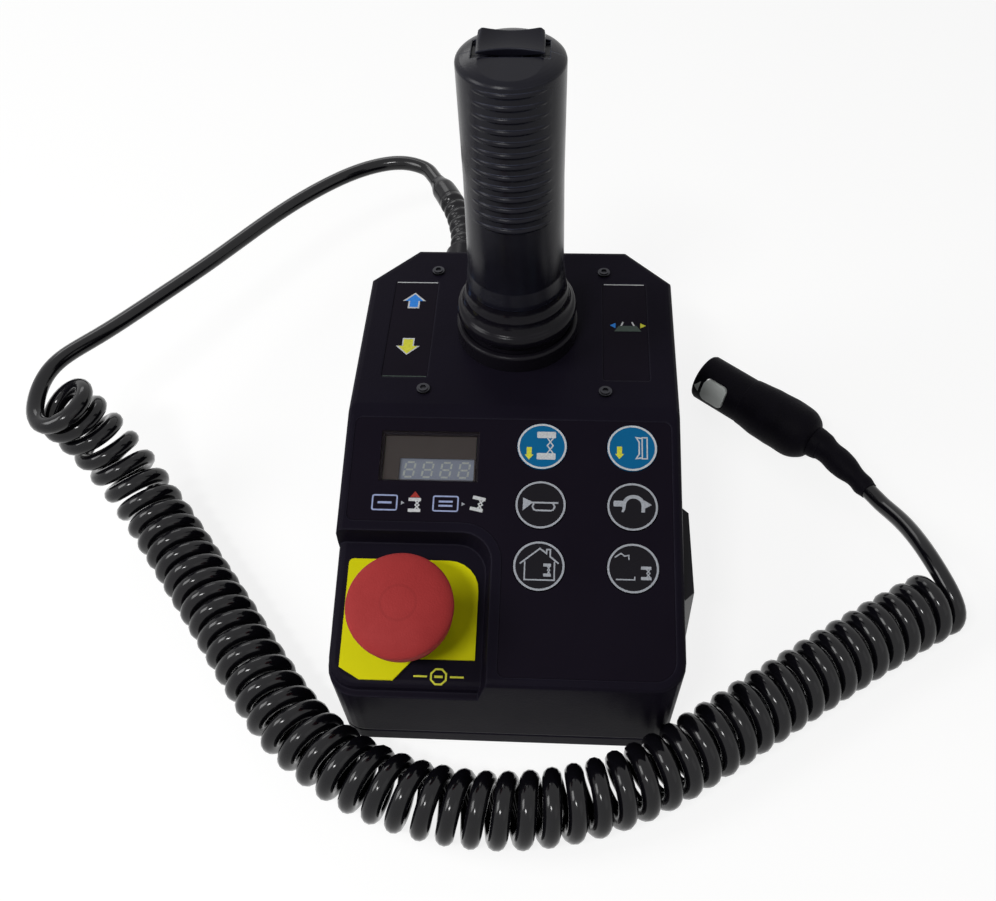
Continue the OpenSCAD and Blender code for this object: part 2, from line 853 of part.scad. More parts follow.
// A mushroom head with a hollow underside and a hub that turns on the plunger
module stop_head() {
    r = stop_head_d / 2;
    dome = [for (a = [0 : 10 : 80]) [r * cos(a), head_rim + head_rim_h + head_dome_h * sin(a)]];
    color("#b03a3a")
    on_panel(stop_x, stop_s, 0) rotate_extrude() polygon(concat(
        [[plunger_r + fit, hub_lift], [head_hub_r, hub_lift],
        [head_hub_r, head_rim + hub_low], [r - hub_low, head_rim + hub_low],
        [r - hub_low, head_rim - head_skirt_h + over], [r - over, head_rim - head_skirt_h],
        [r - over / 2, head_rim]],
        dome, [[0, head_top], [0, plunger_top + fit], [plunger_r + fit, plunger_top + fit]]));
}

// The frame under the deck that carries the pivot pin and the sensor
module stick_base() {
    top = deck_h - wall;
    low = top - stick_plate_t;
    sensor_top = pivot_z - hub_r - magnet_arm - magnet_t - sensor_gap;
    color("#3a3a3f")
    difference() {
        union() {
            translate([0, stick_y, low]) linear_extrude(stick_plate_t)
                polygon(rounded(stick_screw_x + 2 * stick_plate_edge,
                    stick_screw_y + 2 * stick_plate_edge, stick_plate_edge));
            for (side = [-1, 1]) translate([side * (lug_in + lug_t / 2), stick_y, 0]) {
                translate([-lug_t / 2, -hub_r, pivot_z]) cube([lug_t, 2 * hub_r, low - pivot_z
                    + slice]);
                translate([-lug_t / 2, 0, pivot_z]) rotate([0, 90, 0]) cylinder(r = hub_r, h = lug_t);
            }
            for (sx = [-1, 1]) for (sy = [-1, 1])
                translate([sx * sensor_post_x, stick_y + sy * sensor_post_y, sensor_top])
                    cylinder(r = sensor_post_r, h = low - sensor_top + slice);
        }
        translate([0, stick_y, low - over])
            cylinder(r = opening_r - over, h = stick_plate_t + 2 * over);
        translate([-lug_in, stick_y - hub_r - over, low - over])
            cube([2 * lug_in, 2 * hub_r + 2 * over, stick_plate_t + 2 * over]);
        translate([-half_w, stick_y, pivot_z]) rotate([0, 90, 0])
            cylinder(r = pin_r + fit, h = case_w);
        at_stick_screws() translate([0, 0, low - over])
            cylinder(r = stick_screw_r + fit, h = 2 * stick_plate_t);
    }
}

module stick_screws() {
    color(steel)
    at_stick_screws() difference() {
        union() {
            translate([0, 0, deck_h]) cylinder(r = stick_head_r, h = stick_head_h * 2 / 3);
            translate([0, 0, deck_h]) cylinder(r = stick_head_r * 3 / 4, h = stick_head_h);
            translate([0, 0, deck_h - stick_screw_l]) cylinder(r = stick_screw_r,
                h = stick_screw_l + slice);
        }
        translate([0, 0, deck_h + stick_head_h / 2])
            cylinder(r = stick_head_r / 2, h = stick_head_h, $fn = 6);
    }
}

module stick_pin() {
    reach = lug_in + lug_t + over;
    color(steel)
    translate([-reach, stick_y, pivot_z]) rotate([0, 90, 0]) cylinder(r = pin_r, h = 2 * reach);
}

module sensor_board() {
    top = pivot_z - hub_r - magnet_arm - magnet_t - sensor_gap;
    color(pcb_green)
    translate([0, stick_y, top - sensor_t]) {
        linear_extrude(sensor_t) square([sensor_w, sensor_l], center = true);
        linear_extrude(sensor_t + sensor_gap / 2) square(magnet_r, center = true);
    }
}

// The ring that clamps the boot's foot to the deck
module boot_ring() {
    color(black_plastic)
    translate([0, stick_y, deck_h]) rotate_extrude() polygon(concat(
        [[opening_r, 0], [ring_r, 0]],
        [for (a = [0 : 15 : 90]) [ring_r - ring_fillet, ring_h - ring_fillet]
            + turned(ring_fillet, a)],
        [[boot_neck_r + gap, ring_h], [boot_neck_r + gap, ring_h / 2], [opening_r, ring_h / 2]]));
}

function boot_line() = [for (p = boot_shares)
    [boot_high_r + p[0] * (boot_bulge_r - boot_high_r),
    ring_h / 2 + p[1] * (grip_low - gap - ring_h / 2)]];

// The rubber boot, an open sleeve with one fold between the ring and the grip
module boot() {
    line = boot_line();
    inner = [for (i = [len(line) - 1 : -1 : 0]) line[i] - [boot_t, 0]];
    color(rubber)
    translate([0, stick_y, deck_h]) rotate_extrude() polygon(concat(line, inner));
}

module stick_bushes() {
    color("#b8923e")
    for (side = [-1, 1]) translate([side * lug_in, stick_y, pivot_z]) rotate([0, -side * 90, 0])
        translate([0, 0, gap]) difference() {
            union() {
                cylinder(r = bush_flange_r, h = bush_flange_t);
                cylinder(r = bush_r, h = bush_flange_t + bush_l);
            }
            translate([0, 0, -over]) cylinder(r = pin_r + fit, h = bush_l + 3 * over);
        }
}

// The hub that swings on the pin, and the shaft that carries the grip
module stick_shaft() {
    half_hub = lug_in - bush_flange_t - gap;
    color("#9a9da2")
    translate([0, stick_y, pivot_z]) difference() {
        union() {
            translate([-half_hub, 0, 0]) rotate([0, 90, 0]) cylinder(r = hub_r, h = 2 * half_hub);
            cylinder(r = shaft_r, h = pivot_drop + shaft_top);
            translate([0, 0, centring_low + pivot_drop + grip_low - hub_r])
                cylinder(r = collar_disc_r, h = collar_disc_t);
        }
        translate([-half_w, 0, 0]) rotate([0, 90, 0]) cylinder(r = pin_r + fit, h = case_w);
        for (side = [-1, 1]) translate([side * half_hub, 0, 0]) rotate([0, -side * 90, 0])
            translate([0, 0, -over]) cylinder(r = bush_r, h = bush_l + over);
        translate([0, 0, -hub_r - over]) cylinder(r = magnet_neck_r, h = hub_r - pin_r);
    }
}

module centring_spring() {
    low = hub_r + fit;
    high = centring_low + pivot_drop + grip_low - hub_r - fit;
    color(steel)
    translate([0, stick_y, pivot_z + low])
        spring((shaft_r + centring_wire_r + gap) / cos(180 / spring_sides), centring_wire_r,
            high - low, centring_coils);
}

module magnet_holder() {
    color("#2c2c30")
    translate([0, stick_y, pivot_z - hub_r - magnet_arm]) {
        cylinder(r = magnet_neck_r, h = magnet_arm + hub_r - pin_r - 2 * over);
        translate([0, 0, -magnet_t]) cylinder(r = magnet_r, h = magnet_t);
    }
}

// The grip's outline, as radii and heights over the deck
function grip_line() = concat(
    [[shaft_r + fit, grip_low + grip_sink], [grip_r - boot_t, grip_low + grip_sink],
    [grip_r - boot_t, grip_low], [grip_r + grip_lip, grip_low],
    [grip_r + grip_lip, grip_low + grip_sink / 2], [grip_r, grip_low + 2 * grip_sink],
    [grip_r * grip_waist_share, (grip_low + grip_top) / 2], [grip_r, shoulder_h]],
    [for (a = [10 : 10 : 90]) [grip_top_r + (grip_r - grip_top_r) * cos(a),
        shoulder_h + (grip_top - shoulder_h) * sin(a)]],
    [[0, grip_top], [0, shaft_top + fit], [shaft_r + fit, shaft_top + fit]]);

module grip_block() {
    translate([0, stick_y, deck_h]) difference() {
        rotate_extrude() polygon(grip_line());
        translate([-grip_r, -facet_back, grip_top - facet_drop]) rotate([facet_angle, 0, 0])
            translate([0, -2 * grip_r, 0]) cube([2 * grip_r, 2 * grip_r, grip_r]);
    }
}

module rocker_room() {
    translate([0, stick_y, rocker_z]) {
        translate([0, rocker_back + gap, 0]) rotate([90, 0, 0])
            cylinder(r = barrel_rr + gap, h = rocker_front + rocker_back + 2 * gap);
        translate([-rocker_slot, -rocker_front - gap, 0])
            cube([2 * rocker_slot, rocker_front + rocker_back + 2 * gap, rocker_drop + over]);
        translate([-rocker_w / 2 - rocker_swing, -rocker_front - gap, rocker_drop - rocker_well])
            cube([rocker_w + 2 * rocker_swing, rocker_front + rocker_back + 2 * gap,
                rocker_well + over]);
        translate([0, rocker_back + 2 * over, 0]) rotate([90, 0, 0])
            cylinder(r = rocker_pin_r, h = rocker_front + rocker_back + 4 * over);
        translate([-rocker_switch_w / 2, -rocker_switch_w / 2, -barrel_rr - rocker_switch_h])
            cube([rocker_switch_w, rocker_switch_w, rocker_switch_h + over]);
    }
}

module trigger_room() {
    w = trigger_w + 2 * gap;
    reach = trigger_w / 2 + trigger_pin_over;
    translate([0, stick_y, trigger_z]) {
        translate([-w / 2, pocket_floor, -lever_l - pocket_over])
            cube([w, grip_r, lever_l + lever_over + 2 * pocket_over]);
        translate([-reach, hinge_back, 0]) rotate([0, 90, 0])
            cylinder(r = trigger_pin_r, h = 2 * reach);
        translate([-trigger_switch_w / 2, pocket_floor - trigger_switch_in,
            -lever_l + trigger_coil_r])
            cube([trigger_switch_w, trigger_switch_in + over, trigger_switch_h]);
    }
}

module at_grip_screws() {
    for (sx = [-1, 1]) for (k = [0, 1]) translate([sx * grip_screw_x, stick_y,
        deck_h + grip_low + grip_screw_low + k * grip_screw_rise]) rotate([-90, 0, 0]) children();
}

screw_seat = sqrt(grip_r * grip_r - grip_screw_x * grip_screw_x) - 2 * grip_head_h;

module grip_screw_room(slack) {
    at_grip_screws() {
        translate([0, 0, screw_seat - grip_screw_l]) cylinder(r = grip_screw_r + slack,
            h = grip_screw_l + slice);
        translate([0, 0, screw_seat]) cylinder(r = grip_head_r + slack, h = grip_r);
    }
}

// One horizontal rib: a ring set forward, so that it fades into the sides
module rib() {
    ring = grip_r * rib_ring_share;
    translate([0, -(grip_r + rib_out - rib_r - ring), 0]) rotate_extrude()
        translate([ring, 0]) circle(r = rib_r, $fn = 16);
}

module grip_front() {
    far = 2 * grip_r;
    color(rubber)
    difference() {
        union() {
            grip_block();
            for (i = [0 : rib_count - 1])
                translate([0, stick_y, deck_h + grip_top - rib_first - i * rib_pitch])
                    rib();
        }
        translate([-far, stick_y, deck_h]) cube([2 * far, far, cut_h + grip_top]);
        translate([0, stick_y, deck_h + shaft_top]) cylinder(r = over, h = grip_r);
        rocker_room();
        trigger_room();
        grip_screw_room(fit);
    }
}

module grip_rear() {
    far = 2 * grip_r;
    color(rubber)
    difference() {
        grip_block();
        translate([-far, stick_y - far, deck_h]) cube([2 * far, far, cut_h + grip_top]);
        translate([0, stick_y, deck_h + shaft_top]) cylinder(r = over, h = grip_r);
        rocker_room();
        trigger_room();
        grip_screw_room(fit);
    }
}

module grip_screws() {
    color(steel)
    at_grip_screws() difference() {
        union() {
            translate([0, 0, screw_seat]) cylinder(r = grip_head_r, h = grip_head_h);
            translate([0, 0, screw_seat - grip_screw_l + gap])
                cylinder(r = grip_screw_r, h = grip_screw_l);
        }
        translate([0, 0, screw_seat + grip_head_h / 2])
            cylinder(r = grip_screw_r * 3 / 4, h = grip_head_h, $fn = 6);
    }
}

module rocker_switch() {
    w = rocker_switch_w - 2 * hair;
    color("#2c2c30")
    translate([-w / 2, stick_y - w / 2, rocker_z - barrel_rr - rocker_switch_h + hair])
        cube([w, w, rocker_switch_h - 2 * gap]);
}

module rocker_pin() {
    color(steel)
    translate([0, stick_y + rocker_back + 2 * over, rocker_z]) rotate([90, 0, 0])
        cylinder(r = rocker_pin_r, h = rocker_front + rocker_back + 4 * over);
}

// The thumb rocker: a barrel on its pin, with a saddle on top that is scooped for the thumb
module rocker_cap() {
    low = rocker_drop + rocker_lift;
    half = rocker_w / 2;
    scoop_r = (half * half + rocker_scoop * rocker_scoop) / (2 * rocker_scoop);
    saddle = [for (i = [-6 : 6]) let (t = i / 6) [t * (half - rocker_top_in),
        low + rocker_mid_t + (rocker_end_t - rocker_mid_t) * t * t]];
    long = rocker_front + rocker_back;
    color(black_plastic)
    translate([0, stick_y + rocker_back, rocker_z]) rotate([90, 0, 0]) difference() {
        union() {
            linear_extrude(long) polygon(concat([[half, low], [half - over / 2, low
                + rocker_mid_t]], [for (i = [12 : -1 : 0]) saddle[i]],
                [[-half + over / 2, low + rocker_mid_t], [-half, low]]));
            translate([-rocker_neck, 0, 0]) cube([2 * rocker_neck, low + over, long]);
            cylinder(r = barrel_rr, h = long);
        }
        translate([0, 0, -over]) cylinder(r = rocker_pin_r + fit, h = long + 2 * over);
        translate([0, low - slice, long - rocker_scoop + scoop_r]) rotate([-90, 0, 0])
            cylinder(r = scoop_r, h = 2 * rocker_end_t);
    }
}

module trigger_switch() {
    w = trigger_switch_w - 2 * hair;
    base = -lever_l + trigger_coil_r + hair;
    color("#2c2c30")
    translate([0, stick_y, trigger_z]) {
        translate([-w / 2, pocket_floor - trigger_switch_in + hair, base])
            cube([w, trigger_switch_in - hair, trigger_switch_h - 2 * hair]);
        translate([0, pocket_floor - slice, base + trigger_switch_h / 4]) rotate([-90, 0, 0])
            cylinder(r = trigger_tip_r, h = trigger_tip);
    }
}

module trigger_pin() {
    reach = trigger_w / 2 + trigger_pin_over;
    color(steel)
    translate([-reach, stick_y + hinge_back, trigger_z]) rotate([0, 90, 0])
        cylinder(r = trigger_pin_r, h = 2 * reach);
}

spring_up = 0.4 * lever_l;

module trigger_spring() {
    color(steel)
    translate([0, stick_y + pocket_floor + hair, trigger_z - spring_up]) rotate([-90, 0, 0])
        spring(trigger_coil_r, trigger_wire_r, hinge_back + lever_in - pocket_floor - 2 * hair,
            trigger_coils);
}

// The enable trigger, a curved lever that hangs from its pin
module trigger() {
    back = hinge_back + lever_in;
    out = hinge_back + lever_out;
    rim = grip_r + over;
    color(black_plastic)
    translate([-trigger_w / 2, stick_y, trigger_z]) difference() {
        rotate([90, 0, 90]) linear_extrude(trigger_w) polygon([
            [hinge_back - 1.2 * lever_in, -lever_in], [hinge_back - 1.2 * lever_in, lever_in],
            [hinge_back, lever_over - over], [back, lever_over], [rim, lever_over],
            [out - 0.15 * lever_out, -0.05 * lever_l], [out, -0.2 * lever_l],
            [out - 0.1 * lever_out, -0.45 * lever_l], [out - 0.25 * lever_out, -0.65 * lever_l],
            [out - 0.1 * lever_out, -0.85 * lever_l], [out + 0.05 * lever_out, -0.97 * lever_l],
            [out - 0.1 * lever_out, -lever_l], [back, -lever_l],
            [back, -lever_belly - lever_in]]);
        translate([-over, hinge_back, 0]) rotate([0, 90, 0])
            cylinder(r = trigger_pin_r + fit, h = trigger_w + 2 * over);
    }
}

// The gland in the rear wall: hexagon, dome nut and thread
module cable_gland() {
    color(black_plastic)
    translate([gland_x, half_d, gland_z]) rotate([-90, 0, 0]) difference() {
        union() {
            cylinder(r = gland_body_r, h = gland_hex_l, $fn = 6);
            translate([0, 0, gland_hex_l - slice]) cylinder(r = gland_dome_r,
                h = gland_dome_l - 2 * over + slice);
            cylinder(r = gland_dome_r - over, h = gland_hex_l + gland_dome_l);
            translate([0, 0, -wall - gland_inner_l]) cylinder(r = gland_thread_r,
                h = wall + gland_inner_l + slice);
        }
        translate([0, 0, -2 * gland_dome_l]) cylinder(r = cord_d / 2 + gap, h = 3 * gland_dome_l);
    }
}

module gland_nut() {
    color(black_plastic)
    translate([gland_x, half_d - wall - draft_in, gland_z]) rotate([90, 0, 0]) difference() {
        cylinder(r = gland_nut_r, h = gland_nut_l, $fn = 6);
        translate([0, 0, -over]) cylinder(r = gland_thread_r + fit, h = gland_nut_l + 2 * over);
    }
}

// The strain relief: a ribbed rubber sleeve that tapers along its bent route
module strain_relief() {
    P = led(relief_foot, [0, straight, 0], relief_route, straight * relief_dir,
        relief_end, 12);
    n = len(P) - 1;
    r = [for (i = [0 : n]) let (t = i / n) relief_root_r + (relief_tip_r - relief_root_r) * t
        - relief_rib * (i < 2 || i > n - 3 ? 0 : 0.5 - 0.5 * cos(360 * relief_ribs * t))];
    color(rubber) tube(P, r, 12, [0, 0, 1]);
}

// The curls' middle line, the turns counted along it, and the helix round it
axis_line = smooth(curl_route, axis_steps);
function spot(p) = [p[0], p[1], p[2]];
axis_turns = [for (i = 0, sum = 0; i < len(axis_line); i = i + 1,
    sum = sum + (i < len(axis_line)
        ? norm(spot(axis_line[i]) - spot(axis_line[i - 1])) / axis_line[i][3] : 0)) sum];
axis_total = axis_turns[len(axis_turns) - 1];
axis_table = [for (k = [0 : 2]) [for (i = [0 : len(axis_line) - 1])
    [axis_turns[i] / axis_total, axis_line[i][k]]]];
function axis_at(u) = [for (k = [0 : 2]) lookup(u, axis_table[k])];
curl_turns = curl_count + (360 - curl_start) / 360;
curl_step = 1 / (curl_turns * curl_rings);

// A left-handed curl: the angle grows against the turn of a common screw
function curl_point(u) = let (
    t = unit(axis_at(min(1, u + 2 * curl_step)) - axis_at(max(0, u - 2 * curl_step))),
    up = unit(cross(t, [0, 1, 0])), side = cross(up, t),
    a = curl_start + 360 * curl_turns * u,
    open = max(0, 1 - curl_turns * u / curl_open_turns))
    axis_at(u) + curl_r * (1 + curl_open_share * open * open) * (cos(a) * up + sin(a) * side);
curl_steps = round(curl_turns * curl_rings);
helix = [for (i = [0 : curl_steps]) curl_point(i / curl_steps)];
function helix_way(i, j) = unit(curl_point(j) - curl_point(i));
curl_in = helix_way(0, curl_step / 4);
curl_out = helix_way(1 - curl_step / 4, 1);
curl_first = helix[0] - cord_d * curl_in;
curl_last = helix[curl_steps] + cord_d * curl_out;
curl_line = concat([curl_first], helix, [curl_last]);
tube_gap = min([for (i = [0 : curl_steps - curl_rings - 3]) for (k = [-3 : 3])
    norm(helix[i + curl_rings + k] - helix[i])]) - cord_d;
echo(least_gap_of_curls = tube_gap, turns = curl_turns, wound = axis_total);
function run(P) = len(P) < 2 ? 0 : [for (i = 1, sum = 0; i <= len(P); i = i + 1,
    sum = sum + (i <= len(P) ? norm(P[i - 1] - P[i - 2]) : 0)) sum][len(P) - 1];

lead_line = led(relief_end, straight * relief_dir, lead_route, cord_d * curl_in,
    curl_first, 2);
tail_line = led(curl_last, cord_d * curl_out, tail_route, 2 * straight * unit(tail_dir),
    tail_end, 2);
echo(cord_length = run(lead_line) + run(curl_line) + run(tail_line));

module cord_lead() {
    color("#0c0c0e") tube(lead_line, same(lead_line, cord_d / 2), 10, [0, 0, 1]);
}

module cord_curls() {
    color("#0c0c0e") tube(curl_line, same(curl_line, cord_d / 2), 6, [0, 0, 1]);
}

module cord_tail() {
    color("#0c0c0e") tube(tail_line, same(tail_line, cord_d / 2), 10, [0, 0, 1]);
}

module plug_sleeve() {
    P = led(tail_end, straight * unit(tail_dir), sleeve_route, straight * plug_dir,
        plug_end, 4);
    n = len(P) - 1;
    color(rubber) tube(P, [for (i = [0 : n]) sleeve_tip_r
        + (sleeve_root_r - sleeve_tip_r) * pow(i / n, 0.7)], 12, [0, 0, 1]);
}

// The plug's frame: its axis from the cord end towards the mouth
module on_plug() {
    translate(plug_end) rotate([0, 0, plug_turn]) rotate([0, -90, 0]) children();
}

module plug_body() {
    l = plug_body_l;
    color(black_plastic)
    on_plug() rotate_extrude() polygon([[0, 0], [plug_neck_r, 0],
        [plug_neck_r + 0.08 * l, 0.05 * l], [plug_belly_r - 0.02 * l, 0.16 * l],
        [plug_belly_r, 0.3 * l], [plug_belly_r, 0.5 * l], [plug_belly_r - 0.01 * l, 0.7 * l],
        [plug_root_r + 0.01 * l, 0.9 * l], [plug_root_r, l], [0, l]]);
}

// The front shell: a mouth with a seat for the insert, and a window for the latch
plug_tip = plug_body_l + plug_shell_l;
seat_r = mouth_r - gap;

module plug_shell() {
    color(black_plastic)
    on_plug() difference() {
        rotate_extrude() polygon([[0, plug_body_l], [plug_r, plug_body_l],
            [plug_r, plug_tip - over], [plug_r - over / 2, plug_tip], [mouth_r, plug_tip],
            [mouth_r, plug_tip - mouth_l], [seat_r, plug_tip - mouth_l],
            [seat_r, plug_body_l + over], [0, plug_body_l + over]]);
        latch_block(hair);
    }
}

module latch_block(slack) {
    w = latch_w + 2 * slack;
    l = latch_l + 2 * slack;
    rotate([0, 0, latch_tilt]) translate([0, -mouth_r / 2, plug_tip - latch_at])
        rotate([90, 0, 0]) linear_extrude(plug_r) polygon(rounded(w, l, latch_corner_r));
}

module plug_insert() {
    base = plug_body_l + over;
    top = plug_tip - mouth_l;
    color("#b9bbb5")
    on_plug() difference() {
        translate([0, 0, base]) cylinder(r = seat_r - fit, h = top - base);
        for (i = [0 : socket_count - 1]) rotate([0, 0, 360 * i / socket_count])
            translate([socket_ring_r, 0, top - socket_l]) cylinder(r = socket_r, h = socket_l
                + over);
    }
}

module plug_latch() {
    color("#a9aca8")
    on_plug() difference() {
        intersection() {
            latch_block(-hair);
            translate([0, 0, plug_body_l]) cylinder(r = plug_r + latch_proud, h = plug_shell_l);
        }
        translate([0, 0, plug_body_l]) cylinder(r = mouth_r + latch_travel + fit,
            h = plug_shell_l);
    }
}

upper_case();
base_tray();
case_seal();
case_screws();
side_bumper();
panel_overlay();
deck_labels();
display_lens();
digit_module();
control_board();
board_screws();
key_1();
key_2();
key_3();
key_4();
key_5();
key_6();
yellow_plate();
stop_collar();
stop_nut();
stop_contacts();
stop_spring();
stop_plunger();
stop_head();
stick_base();
stick_screws();
stick_pin();
sensor_board();
boot_ring();
boot();
stick_bushes();
stick_shaft();
centring_spring();
magnet_holder();
grip_front();
grip_rear();
grip_screws();
rocker_switch();
rocker_pin();
rocker_cap();
trigger_switch();
trigger_pin();
trigger_spring();
trigger();
cable_gland();
gland_nut();
strain_relief();
cord_lead();
cord_curls();
cord_tail();
plug_sleeve();
plug_body();
plug_shell();
plug_insert();
plug_latch();
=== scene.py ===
"""Scissor lift controller: a moulded case with a joystick, a keypad, a stop button and a curly
cord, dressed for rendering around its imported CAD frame. Lengths are in metres; drawings of
printed marks and routes of the cord are in millimetres."""

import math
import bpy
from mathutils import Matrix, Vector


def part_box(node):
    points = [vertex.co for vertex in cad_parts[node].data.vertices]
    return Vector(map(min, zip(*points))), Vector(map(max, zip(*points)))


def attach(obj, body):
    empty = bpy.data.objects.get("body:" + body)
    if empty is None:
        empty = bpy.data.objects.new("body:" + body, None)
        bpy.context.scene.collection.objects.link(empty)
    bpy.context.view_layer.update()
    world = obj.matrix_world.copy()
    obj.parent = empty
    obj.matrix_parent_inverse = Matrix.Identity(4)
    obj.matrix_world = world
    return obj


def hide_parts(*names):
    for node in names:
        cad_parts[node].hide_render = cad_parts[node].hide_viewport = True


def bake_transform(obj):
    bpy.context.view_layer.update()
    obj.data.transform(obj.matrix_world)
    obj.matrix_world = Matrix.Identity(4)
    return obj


bl_info = {
    "name": "Scissor Lift Controller",
    "version": (1, 0, 0),
    "blender": (4, 5, 0),
    "location": "View3D > Sidebar > Controller",
    "description": "Builds the pieces, finishes and light of a scissor lift controller",
    "category": "Object",
}

from functools import partial

import bmesh
import bpy
from bpy.props import FloatProperty, FloatVectorProperty, IntProperty, PointerProperty
from mathutils import Matrix, Vector, noise
from mathutils.geometry import tessellate_polygon

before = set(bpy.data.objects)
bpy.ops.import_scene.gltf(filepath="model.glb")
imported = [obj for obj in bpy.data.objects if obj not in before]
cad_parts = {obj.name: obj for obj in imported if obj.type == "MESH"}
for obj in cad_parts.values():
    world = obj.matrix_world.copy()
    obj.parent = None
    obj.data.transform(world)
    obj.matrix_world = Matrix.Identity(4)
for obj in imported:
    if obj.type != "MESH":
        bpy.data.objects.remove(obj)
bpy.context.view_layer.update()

MM = 0.001
DECK = float(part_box("upper_case")[1][2])  # height of the flat rear deck
RIDGE = 4 * MM  # where the deck ends and the sloped panel begins
FRONT = 51 * MM  # height of the panel at the case's front
HALF_DEPTH = 105 * MM
STICK = 52 * MM  # the joystick's place on the deck
SLOPE = math.atan2(DECK - FRONT, RIDGE + HALF_DEPTH)
PANEL = Matrix.Translation((0, RIDGE, DECK)) @ Matrix.Rotation(SLOPE, 4, "X")
TOP = Matrix.Translation((0, 0, DECK))
STICK_FOOT = Matrix.Translation((0, STICK, DECK))
STOP_X, STOP_Y = -37.5 * MM, -88.6 * MM  # middle of the stop button, on the panel


# ---- Helpers: colour, nodes, meshes


def linear(code):
    """An sRGB hex colour as linear red, green and blue."""
    parts = [int(code[i : i + 2], 16) / 255 for i in (0, 2, 4)]
    return tuple(c / 12.92 if c <= 0.04045 else ((c + 0.055) / 1.055) ** 2.4 for c in parts)


def rgba(colour):
    """A hex colour, or a linear one, with its alpha."""
    return (*(linear(colour) if isinstance(colour, str) else tuple(colour)), 1.0)


WHITE = (1.0, 1.0, 1.0, 1.0)


def add_node(tree, kind, inputs=(), **settings):
    """Adds a node with its settings and gives its outputs. Its inputs come by name, by number
    or in order, and each is a value, or an output to link from."""
    node = tree.nodes.new(kind)
    for name, value in settings.items():
        setattr(node, name, value)
    for socket, value in inputs.items() if isinstance(inputs, dict) else enumerate(inputs):
        if isinstance(value, bpy.types.NodeSocket):
            tree.links.new(value, node.inputs[socket])
        else:
            node.inputs[socket].default_value = value
    return node.outputs


def new_object(name, data):
    """A new object in the scene, at the origin."""
    thing = bpy.data.objects.new(name, data)
    bpy.context.scene.collection.objects.link(thing)
    return thing


def weld(mesh, sharp):
    """Merges points that touch, turns faces outward, and smooths all but the sharp edges."""
    work = bmesh.new()
    work.from_mesh(mesh)
    bmesh.ops.remove_doubles(work, verts=work.verts, dist=1e-7)
    bmesh.ops.recalc_face_normals(work, faces=work.faces)
    work.to_mesh(mesh)
    work.free()
    mesh.shade_smooth()
    mesh.set_sharp_from_angle(angle=math.radians(sharp))


def new_mesh(name, verts, faces, edges=()):
    """A plain mesh, not welded."""
    mesh = bpy.data.meshes.new(name)
    mesh.from_pydata([tuple(v) for v in verts], edges, faces)
    return mesh


def put_together(name, verts, faces, materials, picks=None, sharp=32.0):
    """A welded mesh object. picks gives the number of each face's material."""
    mesh = new_mesh(name, verts, faces)
    for material in materials:
        mesh.materials.append(material)
    if picks:
        mesh.polygons.foreach_set("material_index", picks)
    weld(mesh, sharp)
    return new_object(name, mesh)


def set_on(piece, body, replaces=()):
    """Makes a piece ride on a CAD body and hides what it stands for."""
    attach(piece, body)
    if replaces:
        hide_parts(*replaces)


def round_edges(piece, width, angle):
    """Rounds the edges where two faces meet at more than this angle, in degrees."""
    bevel = piece.modifiers.new("rounded edges", "BEVEL")
    bevel.width = width
    bevel.segments = 3
    bevel.limit_method = "ANGLE"
    bevel.angle_limit = math.radians(angle)
    bevel.use_clamp_overlap = True
    bevel.harden_normals = False


def bend(a, b, c, d, t):
    """A point of the smooth curve from b to c, whose neighbours are a and d."""
    return (2 * b + (c - a) * t + (2 * a - 5 * b + 4 * c - d) * t * t
            + (3 * b - 3 * c + d - a) * t * t * t) / 2


def smooth(route, k):
    """A smooth line through the route's points, with k steps between two of them."""
    last = len(route) - 1
    line = [bend(route[max(i - 1, 0)], route[i], route[i + 1], route[min(i + 2, last)], j / k)
            for i in range(last) for j in range(k)]
    return line + [route[last]]


def led(start, leave, route, arrive, end, k):
    """A smooth route from start to end that leaves and arrives along given directions."""
    return [start] + smooth([start + leave] + list(route) + [end - arrive], k) + [end]


def even(line, gap):
    """The same line with points about this far apart."""
    out, rest = [line[0]], gap
    for a, b in zip(line, line[1:]):
        long, gone = (b - a).length, 0.0
        while long - gone >= rest:
            gone += rest
            out.append(a.lerp(b, gone / long))
            rest = gap
        rest -= long - gone
    if (out[-1] - line[-1]).length < gap / 2:
        out.pop()
    return out + [line[-1]]


def eased(line, share, rounds):
    """The line with its kinks smoothed out, each point by its share."""
    pull = 0.6  # how far a free point moves towards its neighbours' middle in a round
    for _ in range(rounds):
        line = [p if not 0 < i < len(line) - 1 else
                p.lerp((line[i - 1] + line[i + 1]) / 2, pull * share(i))
                for i, p in enumerate(line)]
    return line


def lathe(outline, segments, place, shape=None):
    """A closed outline of (radius, height) turned round the local Z axis, as vertices and
    faces. shape may change a point's radius by its angle and height."""
    verts, faces, rings = [], [], []
    for radius, height in outline:
        count = segments if radius > 1e-7 else 1
        rings.append(range(len(verts), len(verts) + count))
        for k in range(count):
            a = 2 * math.pi * k / segments
            r = shape(radius, a, height) if shape else radius
            verts.append(place @ Vector((r * math.cos(a), r * math.sin(a), height)))
    for low, high in zip(rings, rings[1:] + rings[:1]):
        for k in range(segments):
            n = k + 1
            corners = (low[k % len(low)], high[k % len(high)],
                       high[n % len(high)], low[n % len(low)])
            face = tuple(dict.fromkeys(corners))
            if len(face) > 2:
                faces.append(face)
    return verts, faces


def between(low, high):
    """The solid between two like loops of points, as vertices and faces."""
    n = len(low)
    faces = [tuple(range(n)), tuple(range(2 * n - 1, n - 1, -1))]
    faces += [(i, (i + 1) % n, (i + 1) % n + n, i + n) for i in range(n)]
    return low + high, faces


def merged(parts):
    """Several pairs of vertices and faces as one pair."""
    verts, faces = [], []
    for some, theirs in parts:
        faces += [tuple(i + len(verts) for i in face) for face in theirs]
        verts += some
    return verts, faces


